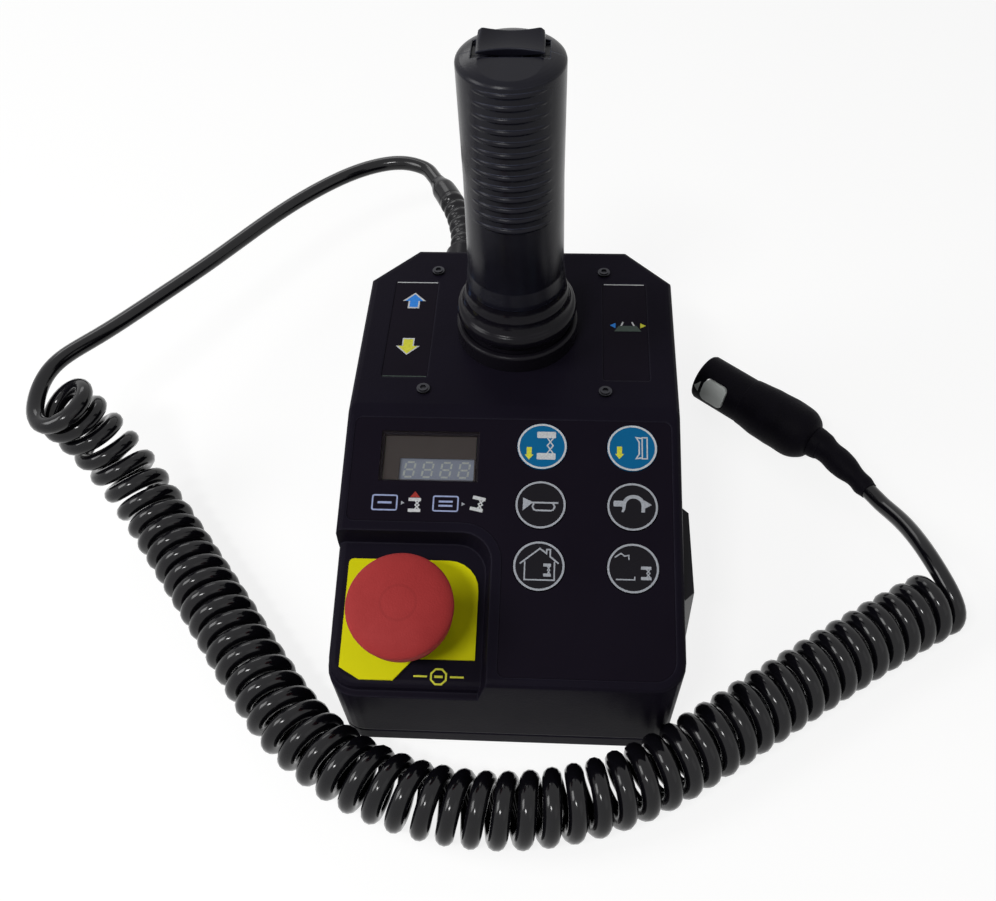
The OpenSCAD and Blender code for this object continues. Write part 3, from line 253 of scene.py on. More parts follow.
def prism(loops, low, high, place):
    """A flat shape, its first loop the edge and the others its holes, as a thin solid."""
    flat = [[Vector((x, y, 0)) for x, y in loop] for loop in loops]
    corners = [p for loop in flat for p in loop]
    tris = tessellate_polygon(flat)
    n = len(corners)
    verts = [place @ Vector((p.x * MM, p.y * MM, z * MM)) for z in (high, low)
             for p in corners]
    faces = [tuple(t) for t in tris] + [tuple(i + n for i in reversed(t)) for t in tris]
    start = 0
    for loop in flat:
        for k in range(len(loop)):
            a, b = start + k, start + (k + 1) % len(loop)
            faces.append((a, b, b + n, a + n))
        start += len(loop)
    return verts, faces


def printed(name, body, shapes, place, lift, height=0.06):
    """Marks printed on a surface at lift: shapes are (material, loops) in millimetres. Each
    is a hair higher than the one before, so that crossing marks don't share a face."""
    sunk, step, steps = 0.03, 0.004, 8
    materials = list(dict.fromkeys(material for material, _ in shapes))
    parts = [prism(loops, lift - sunk, lift + height + step * (n % steps), place)
             for n, (_, loops) in enumerate(shapes)]
    picks = [materials.index(material) for (material, _), (_, faces) in zip(shapes, parts)
             for _ in faces]
    set_on(put_together(name, *merged(parts), materials, picks, sharp=30), body)


# ---- Drawings of printed marks, in millimetres


def arc(x, y, r, start, stop, steps=12):
    """Points on a circle's arc between two angles in degrees."""
    turn = math.radians(stop - start) / steps
    return [(x + r * math.cos(math.radians(start) + turn * i),
             y + r * math.sin(math.radians(start) + turn * i)) for i in range(steps + 1)]


def stroke(points, width, closed=False):
    """The outline of a line of this width: one loop, or an edge and a hole when closed."""
    spots = [Vector(p) for p in points]
    last = len(spots) - 1
    left, right = [], []
    for i, p in enumerate(spots):
        before = spots[i - 1] if i or closed else None
        after = spots[(i + 1) % len(spots)] if i < last or closed else None
        a = (p - before).normalized() if before is not None else (after - p).normalized()
        b = (after - p).normalized() if after is not None else a
        n = Vector((-a.y - b.y, a.x + b.x))
        n = n.normalized() if n.length > 1e-6 else Vector((-a.y, a.x))
        share = max(0.45, n.dot(Vector((-a.y, a.x))))  # a mitre, but no long spike
        left.append(tuple(p + n * (width / 2 / share)))
        right.append(tuple(p - n * (width / 2 / share)))
    if closed:
        return [left, right] if area(left) > area(right) else [right, left]
    return [left + right[::-1]]


def area(loop):
    """The area that a loop of points encloses."""
    return abs(sum(a[0] * b[1] - b[0] * a[1] for a, b in zip(loop, loop[1:] + loop[:1]))) / 2


def box(x0, y0, x1, y1, r=0.0):
    """A rectangle between two corners, rounded to r."""
    if not r:
        return [(x0, y0), (x1, y0), (x1, y1), (x0, y1)]
    return (arc(x1 - r, y1 - r, r, 0, 90, 4) + arc(x0 + r, y1 - r, r, 90, 180, 4)
            + arc(x0 + r, y0 + r, r, 180, 270, 4) + arc(x1 - r, y0 + r, r, 270, 360, 4))


def moved(loops, x, y, turn=0.0):
    """Loops turned about the origin by an angle in degrees, then moved."""
    c, s = math.cos(math.radians(turn)), math.sin(math.radians(turn))
    return [[(x + a * c - b * s, y + a * s + b * c) for a, b in loop] for loop in loops]


def arrow(half, length, head, stem):
    """An arrow that points up, its middle at the origin."""
    h = length / 2
    return [[(0, h), (half, h - head), (stem, h - head), (stem, -h), (-stem, -h),
             (-stem, h - head), (-half, h - head)]]


def lift_mark(half, high, line):
    """A small scissor lift from the side: base, two pairs of crossed arms and platform."""
    bar = 0.23 * high
    arms = high / 2 - bar
    near, far = 0.1 * half, 0.72 * half
    return [[box(-half, -high / 2, half, -high / 2 + bar, 0.15 * bar)],
            stroke([(near, -arms), (far, 0), (near, arms)], line),
            stroke([(far, -arms), (near, 0), (far, arms)], line),
            [box(-half, high / 2 - bar, half, high / 2, 0.15 * bar)]]


# ---- Finishes


def new_finish(name):
    """A material, a function that adds its nodes, and the place that its patterns read."""
    material = bpy.data.materials.new(name)
    material.use_nodes = True
    material.node_tree.nodes.clear()
    add = partial(add_node, material.node_tree)
    return material, add, add("ShaderNodeTexCoord")["Object"]


def finished(material, inputs):
    """Ends a material with its shader."""
    shader = add_node(material.node_tree, "ShaderNodeBsdfPrincipled", inputs)[0]
    add_node(material.node_tree, "ShaderNodeOutputMaterial", {"Surface": shader})
    return material


def moulded(name, colour, other, rough, grain, depth, gloss, cloud=35.0, edge=0.0, scuff_and_highlight=""):
    """Moulded plastic or rubber. In millimetres: the size and depth of its grain, the size of
    the clouds where it turns to the other colour, and the radius of its moulded edges, which
    catch the light and are painted in the edge colour: partly scuffing, partly a painted
    highlight."""
    material, add, where = new_finish(name)
    clouds = add("ShaderNodeTexNoise", {
        "Vector": where, "Scale": 1000 / cloud, "Detail": 5.0, "Roughness": 0.6})[0]
    mixed = add("ShaderNodeMix", {0: clouds, 6: rgba(colour), 7: rgba(other)},
                data_type="RGBA")[2]
    polish = add("ShaderNodeMapRange", (clouds, 0.3, 0.7, rough - 0.05, rough + 0.06))[0]
    specks = add("ShaderNodeTexNoise", {
        "Vector": where, "Scale": 1000 / grain, "Detail": 2.0, "Roughness": 0.6})[0]
    raised = {"Height": specks, "Distance": depth * MM, "Strength": 1.0}
    if edge:
        # Where the rounded normal turns from the face's own, the surface is an edge. There the
        # colour turns to the edge colour, partly scuffing and partly a painted highlight
        soft = add("ShaderNodeBevel", {"Radius": edge * MM}, samples=6)[0]
        face = add("ShaderNodeNewGeometry")["True Normal"]
        along = add("ShaderNodeVectorMath", (soft, face), operation="DOT_PRODUCT")["Value"]
        scuff_and_highlight_share = add("ShaderNodeMapRange", (along, 0.99, 0.86, 0, 0.75))[0]
        scuffed_and_highlit = add("ShaderNodeMath", (scuff_and_highlight_share, clouds), operation="MULTIPLY")[0]
        mixed = add("ShaderNodeMix", {0: scuffed_and_highlit, 6: mixed, 7: rgba(scuff_and_highlight)},
                    data_type="RGBA")[2]
        raised["Normal"] = soft
    return finished(material, {
        "Base Color": mixed, "Roughness": polish, "Specular IOR Level": gloss,
        "Normal": add("ShaderNodeBump", raised)[0]})


def metal(name, colour, rough, lines):
    """A metal part. lines is the spacing of its turning or drawing marks in millimetres."""
    long = 6.0  # the marks' length, as a multiple of their spacing
    material, add, where = new_finish(name)
    stretched = add("ShaderNodeMapping", {"Vector": where, "Scale": (1.0, 1.0, long)})[0]
    marks = add("ShaderNodeTexNoise", {
        "Vector": stretched, "Scale": 1000 / lines / long, "Detail": 3.0})[0]
    value = add("ShaderNodeMapRange", (marks, 0, 1, 0.82, 1.12))[0]
    return finished(material, {
        "Base Color": add("ShaderNodeHueSaturation", {"Color": rgba(colour),
                                                      "Value": value})[0],
        "Roughness": add("ShaderNodeMapRange", (marks, 0, 1, rough - 0.08, rough + 0.1))[0],
        "Normal": add("ShaderNodeBump", {"Height": marks, "Distance": 0.00001,
                                         "Strength": 0.6})[0],
        "Metallic": 1.0})


def ink(name, colour, rough=0.55):
    """Screen-printed ink: a little uneven, because it is pushed through a mesh of threads. The
    real threads are 0.1 mm apart, too fine to show, so they are drawn 0.7 mm apart."""
    material, add, where = new_finish(name)
    mesh = add("ShaderNodeTexNoise", {"Vector": where, "Scale": 1000 / 0.7, "Detail": 2.0})[0]
    value = add("ShaderNodeMapRange", (mesh, 0.3, 0.7, 0.78, 1.04))[0]
    return finished(material, {
        "Base Color": add("ShaderNodeHueSaturation", {"Color": rgba(colour),
                                                      "Value": value})[0],
        "Roughness": rough, "Specular IOR Level": 0.1})


def cord_jacket(colour):
    """Polyurethane jacket: extruded, so it is glossy, with slow waves along it and a few
    duller patches where it rubs."""
    material, add, where = new_finish("glossy polyurethane cord jacket")
    waves = add("ShaderNodeTexNoise", {"Vector": where, "Scale": 1000 / 14, "Detail": 3.0})[0]
    dust = add("ShaderNodeTexNoise", {"Vector": where, "Scale": 1000 / 1.5, "Detail": 2.0})[0]
    return finished(material, {
        "Base Color": add("ShaderNodeMix", {0: dust, 6: rgba(colour), 7: rgba("100F15")},
                          data_type="RGBA")[2],
        "Roughness": add("ShaderNodeMapRange", (waves, 0.35, 0.75, 0.1, 0.18))[0],
        "Normal": add("ShaderNodeBump", {"Height": waves, "Distance": 0.0002,
                                         "Strength": 0.5})[0],
        "Specular IOR Level": 0.3})


def smoked_window():
    """Smoked acrylic: cast smooth, so it is shiny, and dark enough to hide the works."""
    material, add, where = new_finish("smoked acrylic window")
    haze = add("ShaderNodeTexNoise", {"Vector": where, "Scale": 1000 / 9, "Detail": 4.0})[0]
    return finished(material, {
        "Base Color": add("ShaderNodeMix", {0: haze, 6: rgba("2E2827"), 7: rgba("3A3331")},
                          data_type="RGBA")[2],
        "Roughness": add("ShaderNodeMapRange", (haze, 0, 1, 0.1, 0.3))[0],
        "Alpha": 0.2, "Specular IOR Level": 0.12})


def stop_red(colour):
    """Matt red nylon of the stop button: a ring left by the mould in the middle, skin grease
    that darkens it a little, and a fine grain, drawn at 0.7 mm so that it shows."""
    material, add, where = new_finish("matt red nylon")
    middle = PANEL @ Vector((STOP_X, STOP_Y, 24 * MM))
    at_head = add("ShaderNodeMapping", {
        "Vector": where, "Location": middle, "Rotation": (SLOPE, 0, 0)},
        vector_type="TEXTURE")[0]
    flat = add("ShaderNodeVectorMath", (at_head, (1000.0, 1000.0, 0.0)),
               operation="MULTIPLY")[0]
    away = add("ShaderNodeVectorMath", (flat,), operation="LENGTH")["Value"]
    ring = add("ShaderNodeMath", (away, 6.5, 0.5), operation="COMPARE")[0]
    stain = add("ShaderNodeTexNoise", {
        "Vector": where, "Scale": 1000 / 12, "Detail": 5.0, "Roughness": 0.65})[0]
    base = add("ShaderNodeMix", {0: stain, 6: rgba(colour), 7: rgba("9C3030")},
               data_type="RGBA")[2]
    faint = add("ShaderNodeMath", (ring, 0.18), operation="MULTIPLY")[0]
    grain = add("ShaderNodeTexNoise", {"Vector": where, "Scale": 1000 / 0.7,
                                       "Detail": 3.0})[0]
    return finished(material, {
        "Base Color": add("ShaderNodeMix", {0: faint, 6: base, 7: rgba("7E2626")},
                          data_type="RGBA")[2],
        "Roughness": add("ShaderNodeMapRange", (stain, 0, 1, 0.5, 0.7))[0],
        "Normal": add("ShaderNodeBump", {"Height": grain, "Distance": 0.0002,
                                         "Strength": 0.8})[0],
        "Specular IOR Level": 0.12})


def circuit_board():
    """Solder mask over etched tracks: green and glossy, with raised lines 1 to 2 mm apart."""
    material, add, where = new_finish("green solder mask")
    tracks = add("ShaderNodeTexBrick", {
        "Vector": where, "Color1": rgba("1F5A3A"), "Color2": rgba("23663F"),
        "Mortar": rgba("2F7A4C"), "Scale": 220.0, "Mortar Size": 0.02}, offset=0.3)
    return finished(material, {
        "Base Color": tracks["Color"], "Roughness": 0.35,
        "Normal": add("ShaderNodeBump", {"Height": tracks["Fac"], "Distance": 0.00004})[0]})


# Name, colour, other colour, roughness, grain size and depth, gloss, cloud size, edge radius
# and edge colour, partly scuffing and partly a painted highlight. The real grains are 0.1 to
# 0.3 mm: they are drawn as coarse as they need to be to show
MOULDED = {
    # ABS from a spark-eroded mould: an even, dull, slightly violet black
    # Its lighter edges are painted highlights, with some scuffing
    "case": ("spark-textured black ABS", "14111A", "1A1722", 0.34, 0.75, 0.06, 0.02, 35, 1.1,
             "3A3844"),
    # The same mould finish on small parts, with tighter edges
    "black_plastic": ("satin black ABS", "121016", "19171D", 0.26, 0.5, 0.03, 0.09, 35, 0.4,
                      "2C2A34"),
    # Polyester film: a printed matt black face
    "film": ("printed black polyester film", "120E17", "17131D", 0.42, 0.6, 0.03, 0.025),
    # Soft-touch thermoplastic rubber of the grip, polished a little by the hand
    # Its pale blue-grey edge colour paints the highlights on the ribs' crests, with some
    # scuffing
    "grip": ("soft black grip rubber", "121118", "1A1A24", 0.23, 0.5, 0.02, 0.14, 22, 0.6,
             "565C74"),
    # Neoprene of the boot and bumper: dense, and smoother than the grip
    "boot": ("black neoprene", "0F0D13", "16141B", 0.17, 0.8, 0.02, 0.12),
    # Soft PVC of the strain relief: shiny, with the slow waves of a thick moulding
    "relief": ("black soft PVC", "0D0C11", "131217", 0.22, 2.5, 0.01, 0.24),
    # Overmoulded plug: matt, lumpy rubber
    "plug": ("matt overmoulded rubber", "0A090D", "15131A", 0.5, 0.7, 0.2, 0.03, 9, 0.5,
             "2A2830"),
    # Cellular rubber cord of the case's seal: chalky and grey beside the ABS
    "seal": ("grey-black EPDM seal", "26262A", "2E2E32", 0.7, 0.6, 0.04, 0.1),
    # Film printed from behind: the same face as the panel's, blue through it
    "blue_key": ("printed blue key film", "0A6A9E", "095F8E", 0.4, 0.8, 0.03, 0.1, 16),
    # Dyed anodised sheet: an even, satin yellow with a slight bloom
    "yellow": ("yellow anodised plate", "E6E200", "DAD600", 0.5, 0.8, 0.03, 0.1, 14),
    # Light ABS of the plug's latch and insert, a little soiled
    "grey_plastic": ("light grey ABS", "E4E8E6", "CFD4D0", 0.4, 0.7, 0.04, 0.3, 6),
    # Potting resin round the digits: matt and milky behind the window
    "digit_block": ("potted grey epoxy block", "B9C2D6", "AAB4C8", 0.5, 0.6, 0.03, 0.1, 8),
    # The card behind the window, printed brown-grey round the figures
    "mask": ("brown-grey mask card", "625C5A", "5A5452", 0.6, 0.5, 0.02, 0.06, 11),
}
# Name, colour, roughness and spacing of the marks, coarser than the real ones for the same
# reason
METALS = {
    # Bright zinc: cold grey, a little cloudy
    "steel": ("zinc-plated steel", "B9BCC0", 0.34, 0.4),
    # Black oxide on the deck's screws: dark, with an oily shine
    "dark_steel": ("blackened steel screws", "3A3A3E", 0.32, 0.4),
    # Sintered bushes and contacts: warm and dull
    "bronze": ("sintered bronze", "A98642", 0.42, 0.3),
    # Nickel on a turned nut: grey with fine rings
    "nut": ("nickel-plated brass", "8D9094", 0.3, 0.5),
    # Drawn wire: fine marks along it
    "spring": ("drawn spring steel", "9A9DA2", 0.3, 0.3),
}
# Name, colour and, where it isn't an ink's, roughness. The inks are matt and a little broken;
# the digit's segment is milky plastic that isn't lit
INKS = {
    "pale_ink": ("pale grey ink", "B4B8C0"),
    # White ink also paints the highlights along the deck labels' top edges
    "white_ink": ("white ink", "D6D8DA"),
    "blue_ink": ("light blue ink", "3D92F0"),
    "yellow_ink": ("yellow ink", "E4E34A"),
    "red_ink": ("red ink", "A83A34"),
    "frame_ink": ("blue-grey ink", "A8B4DC"),
    # Grey ink of the road sign, which also paints the dim highlight on a deck label's bottom
    # edge
    "dim_ink": ("worn grey ink", "4A5650"),
    "digit": ("unlit digit segment", "EEF6F0", 0.4),
}
FINISH = {}


def make_finishes(colours):
    """Every finish, once. Each is named for the real material."""
    for make, rows in ((moulded, MOULDED), (metal, METALS), (ink, INKS)):
        for key, row in rows.items():
            FINISH[key] = make(*row)
    FINISH["board"] = circuit_board()
    FINISH["window"] = smoked_window()
    FINISH["cord"] = cord_jacket(colours.cord)
    FINISH["red"] = stop_red(colours.stop)


# The finish of each CAD node that is shown as it is
NODE_FINISH = {
    "case": ("upper_case", "base_tray"),
    "black_plastic": ("stop_collar", "stop_contacts", "stick_base", "boot_ring",
                      "magnet_holder", "rocker_switch", "trigger_switch", "cable_gland",
                      "gland_nut", "key_3", "key_4", "key_5", "key_6"),
    "film": ("panel_overlay", "deck_labels"),
    "grip": ("grip_front", "grip_rear"),
    "boot": ("side_bumper",),
    "plug": ("plug_shell",),
    "seal": ("case_seal",),
    "blue_key": ("key_1", "key_2"),
    "yellow": ("yellow_plate",),
    "grey_plastic": ("plug_insert", "plug_latch"),
    "digit_block": ("digit_module",),
    "steel": ("case_screws", "board_screws", "stick_pin", "grip_screws", "rocker_pin",
              "trigger_pin", "stick_shaft", "stop_plunger"),
    "dark_steel": ("stick_screws",),
    "bronze": ("stick_bushes",),
    "nut": ("stop_nut",),
    "spring": ("stop_spring", "centring_spring", "trigger_spring"),
    "board": ("control_board", "sensor_board"),
    "window": ("display_lens",),
}


# ---- Geometry node trees


def new_tree(name, sizes):
    """A tree with inputs for the geometry, the sizes and the finish, a function that adds its
    nodes, and its inputs' outputs."""
    tree = bpy.data.node_groups.new(name, "GeometryNodeTree")
    tree.is_modifier = True
    add_socket = tree.interface.new_socket
    add_socket("Geometry", in_out="INPUT", socket_type="NodeSocketGeometry")
    for label, value in sizes.items():
        kind = "NodeSocketInt" if isinstance(value, int) else "NodeSocketFloat"
        add_socket(label, in_out="INPUT", socket_type=kind).default_value = value
    add_socket("Finish", in_out="INPUT", socket_type="NodeSocketMaterial")
    add_socket("Geometry", in_out="OUTPUT", socket_type="NodeSocketGeometry")
    add = partial(add_node, tree)
    return tree, add, add("NodeGroupInput")


def end_tree(tree, geometry, finish):
    """Ends a tree with its real, finished geometry."""
    real = add_node(tree, "GeometryNodeRealizeInstances", (geometry,))[0]
    done = add_node(tree, "GeometryNodeSetMaterial", {"Geometry": real, "Material": finish})
    add_node(tree, "NodeGroupOutput", (done[0],))
    return tree


def grown(name, mesh, tree, values, place=None):
    """The plain mesh that a tree makes of a start mesh, as a new object at the origin."""
    seed = new_object(name, mesh)
    modifier = seed.modifiers.new("build", "NODES")
    modifier.node_group = tree
    for item in tree.interface.items_tree:
        if item.item_type == "SOCKET" and item.in_out == "INPUT" and item.name in values:
            modifier[item.identifier] = values[item.name]
    seed.update_tag()
    result = bpy.data.meshes.new_from_object(
        seed.evaluated_get(bpy.context.evaluated_depsgraph_get()))
    seed.modifiers.remove(modifier)
    seed.data = result
    weld(result, 38)
    if place is not None:
        result.transform(place)
    return seed


def sleeve_tree():
    """A tapered round sleeve along a line, with evenly spaced rounded grooves over a share of
    it, which fade out, and a mouth that closes in to a share of its size."""
    tree, add, given = new_tree("ribbed sleeve", {
        "Root radius": 0.0074, "Tip radius": 0.005, "Groove depth": 0.0011, "Grooves": 9,
        "Grooved share": 1.0, "End size": 0.8, "Steps": 160, "Sides": 40})
    line = add("GeometryNodeMeshToCurve", {"Mesh": given["Geometry"]})[0]
    fine = add("GeometryNodeResampleCurve", {"Curve": line, "Count": given["Steps"]})[0]
    along = add("GeometryNodeSplineParameter")["Factor"]
    taper = add("ShaderNodeMapRange", (along, 0, 1, given["Root radius"],
                                       given["Tip radius"]))[0]
    turns = add("ShaderNodeMath", (along, given["Grooves"]), operation="MULTIPLY")[0]
    angle = add("ShaderNodeMath", (turns, 2 * math.pi), operation="MULTIPLY")[0]
    wave = add("ShaderNodeMath", (angle,), operation="COSINE")[0]
    share = add("ShaderNodeMapRange", (wave, 1, -1, 0, 1))[0]
    # Grooves a little narrower than the ribs between them
    steep = add("ShaderNodeMath", (share, 1.6), operation="POWER")[0]
    cut = add("ShaderNodeMath", (steep, given["Groove depth"]), operation="MULTIPLY")[0]
    past = add("ShaderNodeMath", (along, given["Grooved share"]), operation="SUBTRACT")[0]
    fading = add("ShaderNodeMapRange", (past, -0.08, 0, 1, 0),
                 interpolation_type="SMOOTHSTEP")[0]
    faded = add("ShaderNodeMath", (cut, fading), operation="MULTIPLY")[0]
    ribbed = add("ShaderNodeMath", (taper, faded), operation="SUBTRACT")[0]
    closing = add("ShaderNodeMapRange", (along, 0.86, 1, 1, given["End size"]),
                  interpolation_type="SMOOTHSTEP")[0]
    radius = add("ShaderNodeMath", (ribbed, closing), operation="MULTIPLY")[0]
    sized = add("GeometryNodeSetCurveRadius", {"Curve": fine, "Radius": radius})[0]
    ring = add("GeometryNodeCurvePrimitiveCircle", {
        "Resolution": given["Sides"], "Radius": 1.0})[0]
    tube = add("GeometryNodeCurveToMesh", {
        "Curve": sized, "Profile Curve": ring, "Fill Caps": True,
        "Scale": add("GeometryNodeInputRadius")[0]})[0]
    return end_tree(tree, tube, given["Finish"])


def row_tree():
    """Copies of the start mesh in a row along X, centred on it."""
    tree, add, given = new_tree("row of figures", {"Count": 4, "Pitch": 0.0074})
    less = add("ShaderNodeMath", (given["Count"], 1.0), operation="SUBTRACT")[0]
    back = add("ShaderNodeMath", (less, given["Pitch"]), operation="MULTIPLY")[0]
    half = add("ShaderNodeMath", (back, -0.5), operation="MULTIPLY")[0]
    spots = add("GeometryNodeMeshLine", {
        "Count": given["Count"], "Start Location": add("ShaderNodeCombineXYZ", (half,))[0],
        "Offset": add("ShaderNodeCombineXYZ", (given["Pitch"],))[0]})[0]
    copies = add("GeometryNodeInstanceOnPoints", {
        "Points": spots, "Instance": given["Geometry"]})[0]
    return end_tree(tree, copies, given["Finish"])


def circle_tree():
    """Small sleeves in a circle: the contacts of the plug."""
    tree, add, given = new_tree("circle of contacts", {
        "Count": 8, "Circle radius": 0.0055, "Outer radius": 0.00085, "Length": 0.007})
    ring = add("GeometryNodeMeshCircle", {
        "Vertices": given["Count"], "Radius": given["Circle radius"]})[0]
    tube = add("GeometryNodeMeshCylinder", {
        "Vertices": 16, "Radius": given["Outer radius"], "Depth": given["Length"]},
        fill_type="NONE")[0]
    copies = add("GeometryNodeInstanceOnPoints", {"Points": ring, "Instance": tube})[0]
    return end_tree(tree, copies, given["Finish"])


def ring_tree():
    """A flat ring of given radius, width and height, round the origin."""
    tree, add, given = new_tree("key ring", {
        "Radius": 0.0095, "Width": 0.0008, "Height": 0.00012})
    circle = add("GeometryNodeCurvePrimitiveCircle", {
        "Resolution": 96, "Radius": given["Radius"]})[0]
    band = add("GeometryNodeCurvePrimitiveQuadrilateral", {
        "Width": given["Width"], "Height": given["Height"]})[0]
    ring = add("GeometryNodeCurveToMesh", {"Curve": circle, "Profile Curve": band})[0]
    return end_tree(tree, ring, given["Finish"])


# ---- Routes of the cord, as in the part's source, in millimetres


def vectors(*rows):
    """Rows of numbers as points."""
    return [Vector(row) for row in rows]


RELIEF_FOOT = Vector((-30, 125, 64))
RELIEF_ROUTE = vectors((-31, 140, 64), (-35, 155, 64), (-41, 169, 64))
RELIEF_END = Vector((-48, 182, 64))
RELIEF_DIR = Vector((-0.49, 0.87, 0))
LEAD_ROUTE = vectors(
    (-56, 194, 64), (-70, 200, 63.5), (-87, 198.5, 62), (-107, 186, 60), (-126, 169, 58),
    (-142, 149, 57), (-157, 127, 57), (-170, 107, 58.5), (-182, 87, 61), (-193, 67, 64.2),
    (-202.2, 52, 67), (-209, 44, 68.8), (-212.6, 39, 69.6))
# The curls' axis, with the distance between two curls as its fourth number
CURL_ROUTE = vectors(
    (-202, 16.5, 71, 9.8), (-194, 17, 54, 10.3), (-181, 10.5, 33, 10.8),
    (-165, -5.5, 19, 10), (-145, -30, 14.9, 9), (-123, -58, 14.8, 8.8),
    (-103, -84, 14.8, 9.1), (-84, -106, 14.8, 9.5), (-61, -122.5, 14.8, 9.5),
    (-38, -132, 14.8, 9.3), (-19, -136, 14.8, 9.2), (0, -137, 14.8, 9.2),
    (19, -135, 14.8, 9.2), (38, -130, 14.8, 9.2), (57, -121.5, 14.8, 9),
    (76, -109.5, 14.8, 8.7), (97, -95, 14.8, 8.7), (118, -80.5, 14.8, 8.7),
    (140, -65.5, 14.8, 8.7), (163, -50.5, 14.8, 8.7), (183, -38.5, 14.8, 8.7))
TAIL_ROUTE = vectors((175.3, -11, 22.8), (171.6, 0, 19))
TAIL_END = Vector((161.8, 19.9, 14.1))
TAIL_DIR = Vector((-0.48, 0.87, -0.08)).normalized()
SLEEVE_ROUTE = vectors((155.8, 30, 13.9))
PLUG_END = Vector((140.6, 49.6, 13.9))
PLUG_TURN = math.radians(-40.5)
PLUG_DIR = Vector((-math.cos(PLUG_TURN), -math.sin(PLUG_TURN), 0))
PLUG = (Matrix.Translation(PLUG_END * MM) @ Matrix.Rotation(PLUG_TURN, 4, "Z")
        @ Matrix.Rotation(math.radians(-90), 4, "Y"))
STRAIGHT = 5.0  # how far the cord runs straight on from a fitting
CURL_START = 165.0  # the angle at which the first curl starts, in degrees
CAD_RINGS = 8  # rings of a curl in the part's source
OPEN_TURNS, OPEN_SHARE = 1.5, 0.3  # how many curls stand open, and how much wider
POINT_GAP = 2.4  # between two points of the lead or the tail
EASED_POINTS, EASED_ROUNDS = 14, 40  # reach and strength of the easing at a join
LEAST_STEP = 0.05  # nearer points than this are one


def curl_maker(cord_d, curl_od, count):
    """A function that gives the helix's points, and the number of its turns."""
    axis = smooth(CURL_ROUTE, 6)
    wound = [0.0]
    for a, b in zip(axis, axis[1:]):
        wound.append(wound[-1] + (b.xyz - a.xyz).length / b.w)
    shares = [w / wound[-1] for w in wound]
    turns = count + (360 - CURL_START) / 360
    step = 1 / (turns * CAD_RINGS)
    radius = (curl_od - cord_d) / 2

    def axis_at(u):
        """The point of the curls' axis at a share u of the turns."""
        u = min(1.0, max(0.0, u))
        i = 1
        while i < len(shares) - 1 and shares[i] < u:
            i += 1
        t = (u - shares[i - 1]) / (shares[i] - shares[i - 1])
        return axis[i - 1].xyz.lerp(axis[i].xyz, t)

    def point(u):
        """The point of the helix at a share u of the turns."""
        t = (axis_at(u + 2 * step) - axis_at(u - 2 * step)).normalized()
        up = t.cross(Vector((0, 1, 0))).normalized()
        side = up.cross(t)
        a = math.radians(CURL_START + 360 * turns * u)
        open_share = max(0.0, 1 - turns * u / OPEN_TURNS)
        r = radius * (1 + OPEN_SHARE * open_share * open_share)
        return axis_at(u) + r * (math.cos(a) * up + math.sin(a) * side)

    return point, turns


def relief_line(k):
    """The route through the strain relief, with k steps between two of its points."""
    return led(RELIEF_FOOT, Vector((0, STRAIGHT, 0)), RELIEF_ROUTE, STRAIGHT * RELIEF_DIR,
               RELIEF_END, k)


def cord_line(sizes):
    """The cord's centreline in metres, from inside the strain relief to the plug."""
    cord_d, curl_od = sizes.cord_diameter / MM, sizes.curl_diameter / MM
    point, turns = curl_maker(cord_d, curl_od, sizes.curl_count)
    step = 1 / (turns * CAD_RINGS)
    way_in = (point(step / 4) - point(0)).normalized()
    way_out = (point(1) - point(1 - step / 4)).normalized()
    steps = round(turns * sizes.curl_rings)
    helix = [point(i / steps) for i in range(steps + 1)]
    first, last = helix[0] - cord_d * way_in, helix[-1] + cord_d * way_out
    relief = relief_line(4)
    lead = led(RELIEF_END, STRAIGHT * RELIEF_DIR, LEAD_ROUTE, cord_d * way_in, first, 6)
    tail = led(last, cord_d * way_out, TAIL_ROUTE, 2 * STRAIGHT * TAIL_DIR, TAIL_END, 6)
    sleeve = led(TAIL_END, STRAIGHT * TAIL_DIR, SLEEVE_ROUTE, STRAIGHT * PLUG_DIR, PLUG_END, 4)
    lead, tail = even(lead, POINT_GAP), even(tail, POINT_GAP)
    whole = relief + lead[1:] + helix + tail + sleeve[1:]
    lead_from, lead_to = len(relief) + 3, len(relief) + len(lead) - 1
    tail_from = lead_to + len(helix)
    tail_to = tail_from + len(tail) - 1

    def share(i):
        """How freely a point may move: the lead and the tail, and half a curl."""
        into = min(i - lead_from, lead_to + EASED_POINTS - i) / EASED_POINTS
        out = min(i - tail_from + EASED_POINTS, tail_to - i) / EASED_POINTS
        return max(0.0, min(1.0, max(into, out))) ** 3

    line = eased(whole, share, EASED_ROUNDS)
    return [p * MM for i, p in enumerate(line)
            if not i or (p - line[i - 1]).length > LEAST_STEP]


# ---- Sizes and colours that a user would change


def length(name, description, default):
    """A size in metres."""
    return FloatProperty(name=name, description=description, default=default,
                         unit="LENGTH", precision=5)


def power(name, description, default):
    """A lamp's power in watts."""
    return FloatProperty(name=name, description=description, default=default, unit="POWER")


def colour(name, description, code):
    """A colour whose default is a hex colour."""
    return FloatVectorProperty(name=name, description=description, default=linear(code),
                               subtype="COLOR", min=0, max=1)


class ControllerKeypad(bpy.types.PropertyGroup):
    first_row: length("First row", "First key row, down the slope from the ridge", 0.0158)
    row_pitch: length("Row pitch", "Distance between key rows", 0.0252)
    left_column: length("Left column", "X of the left key column", 0.0125)
    right_column: length("Right column", "X of the right key column", 0.0487)
    ring_radius: length("Ring radius", "Middle radius of the pale ring on a key", 0.0095)
    ring_width: length("Ring width", "Width of the pale ring on a key", 0.0008)
    key_lift: length("Key lift", "How far a key stands over the panel", 0.0003)


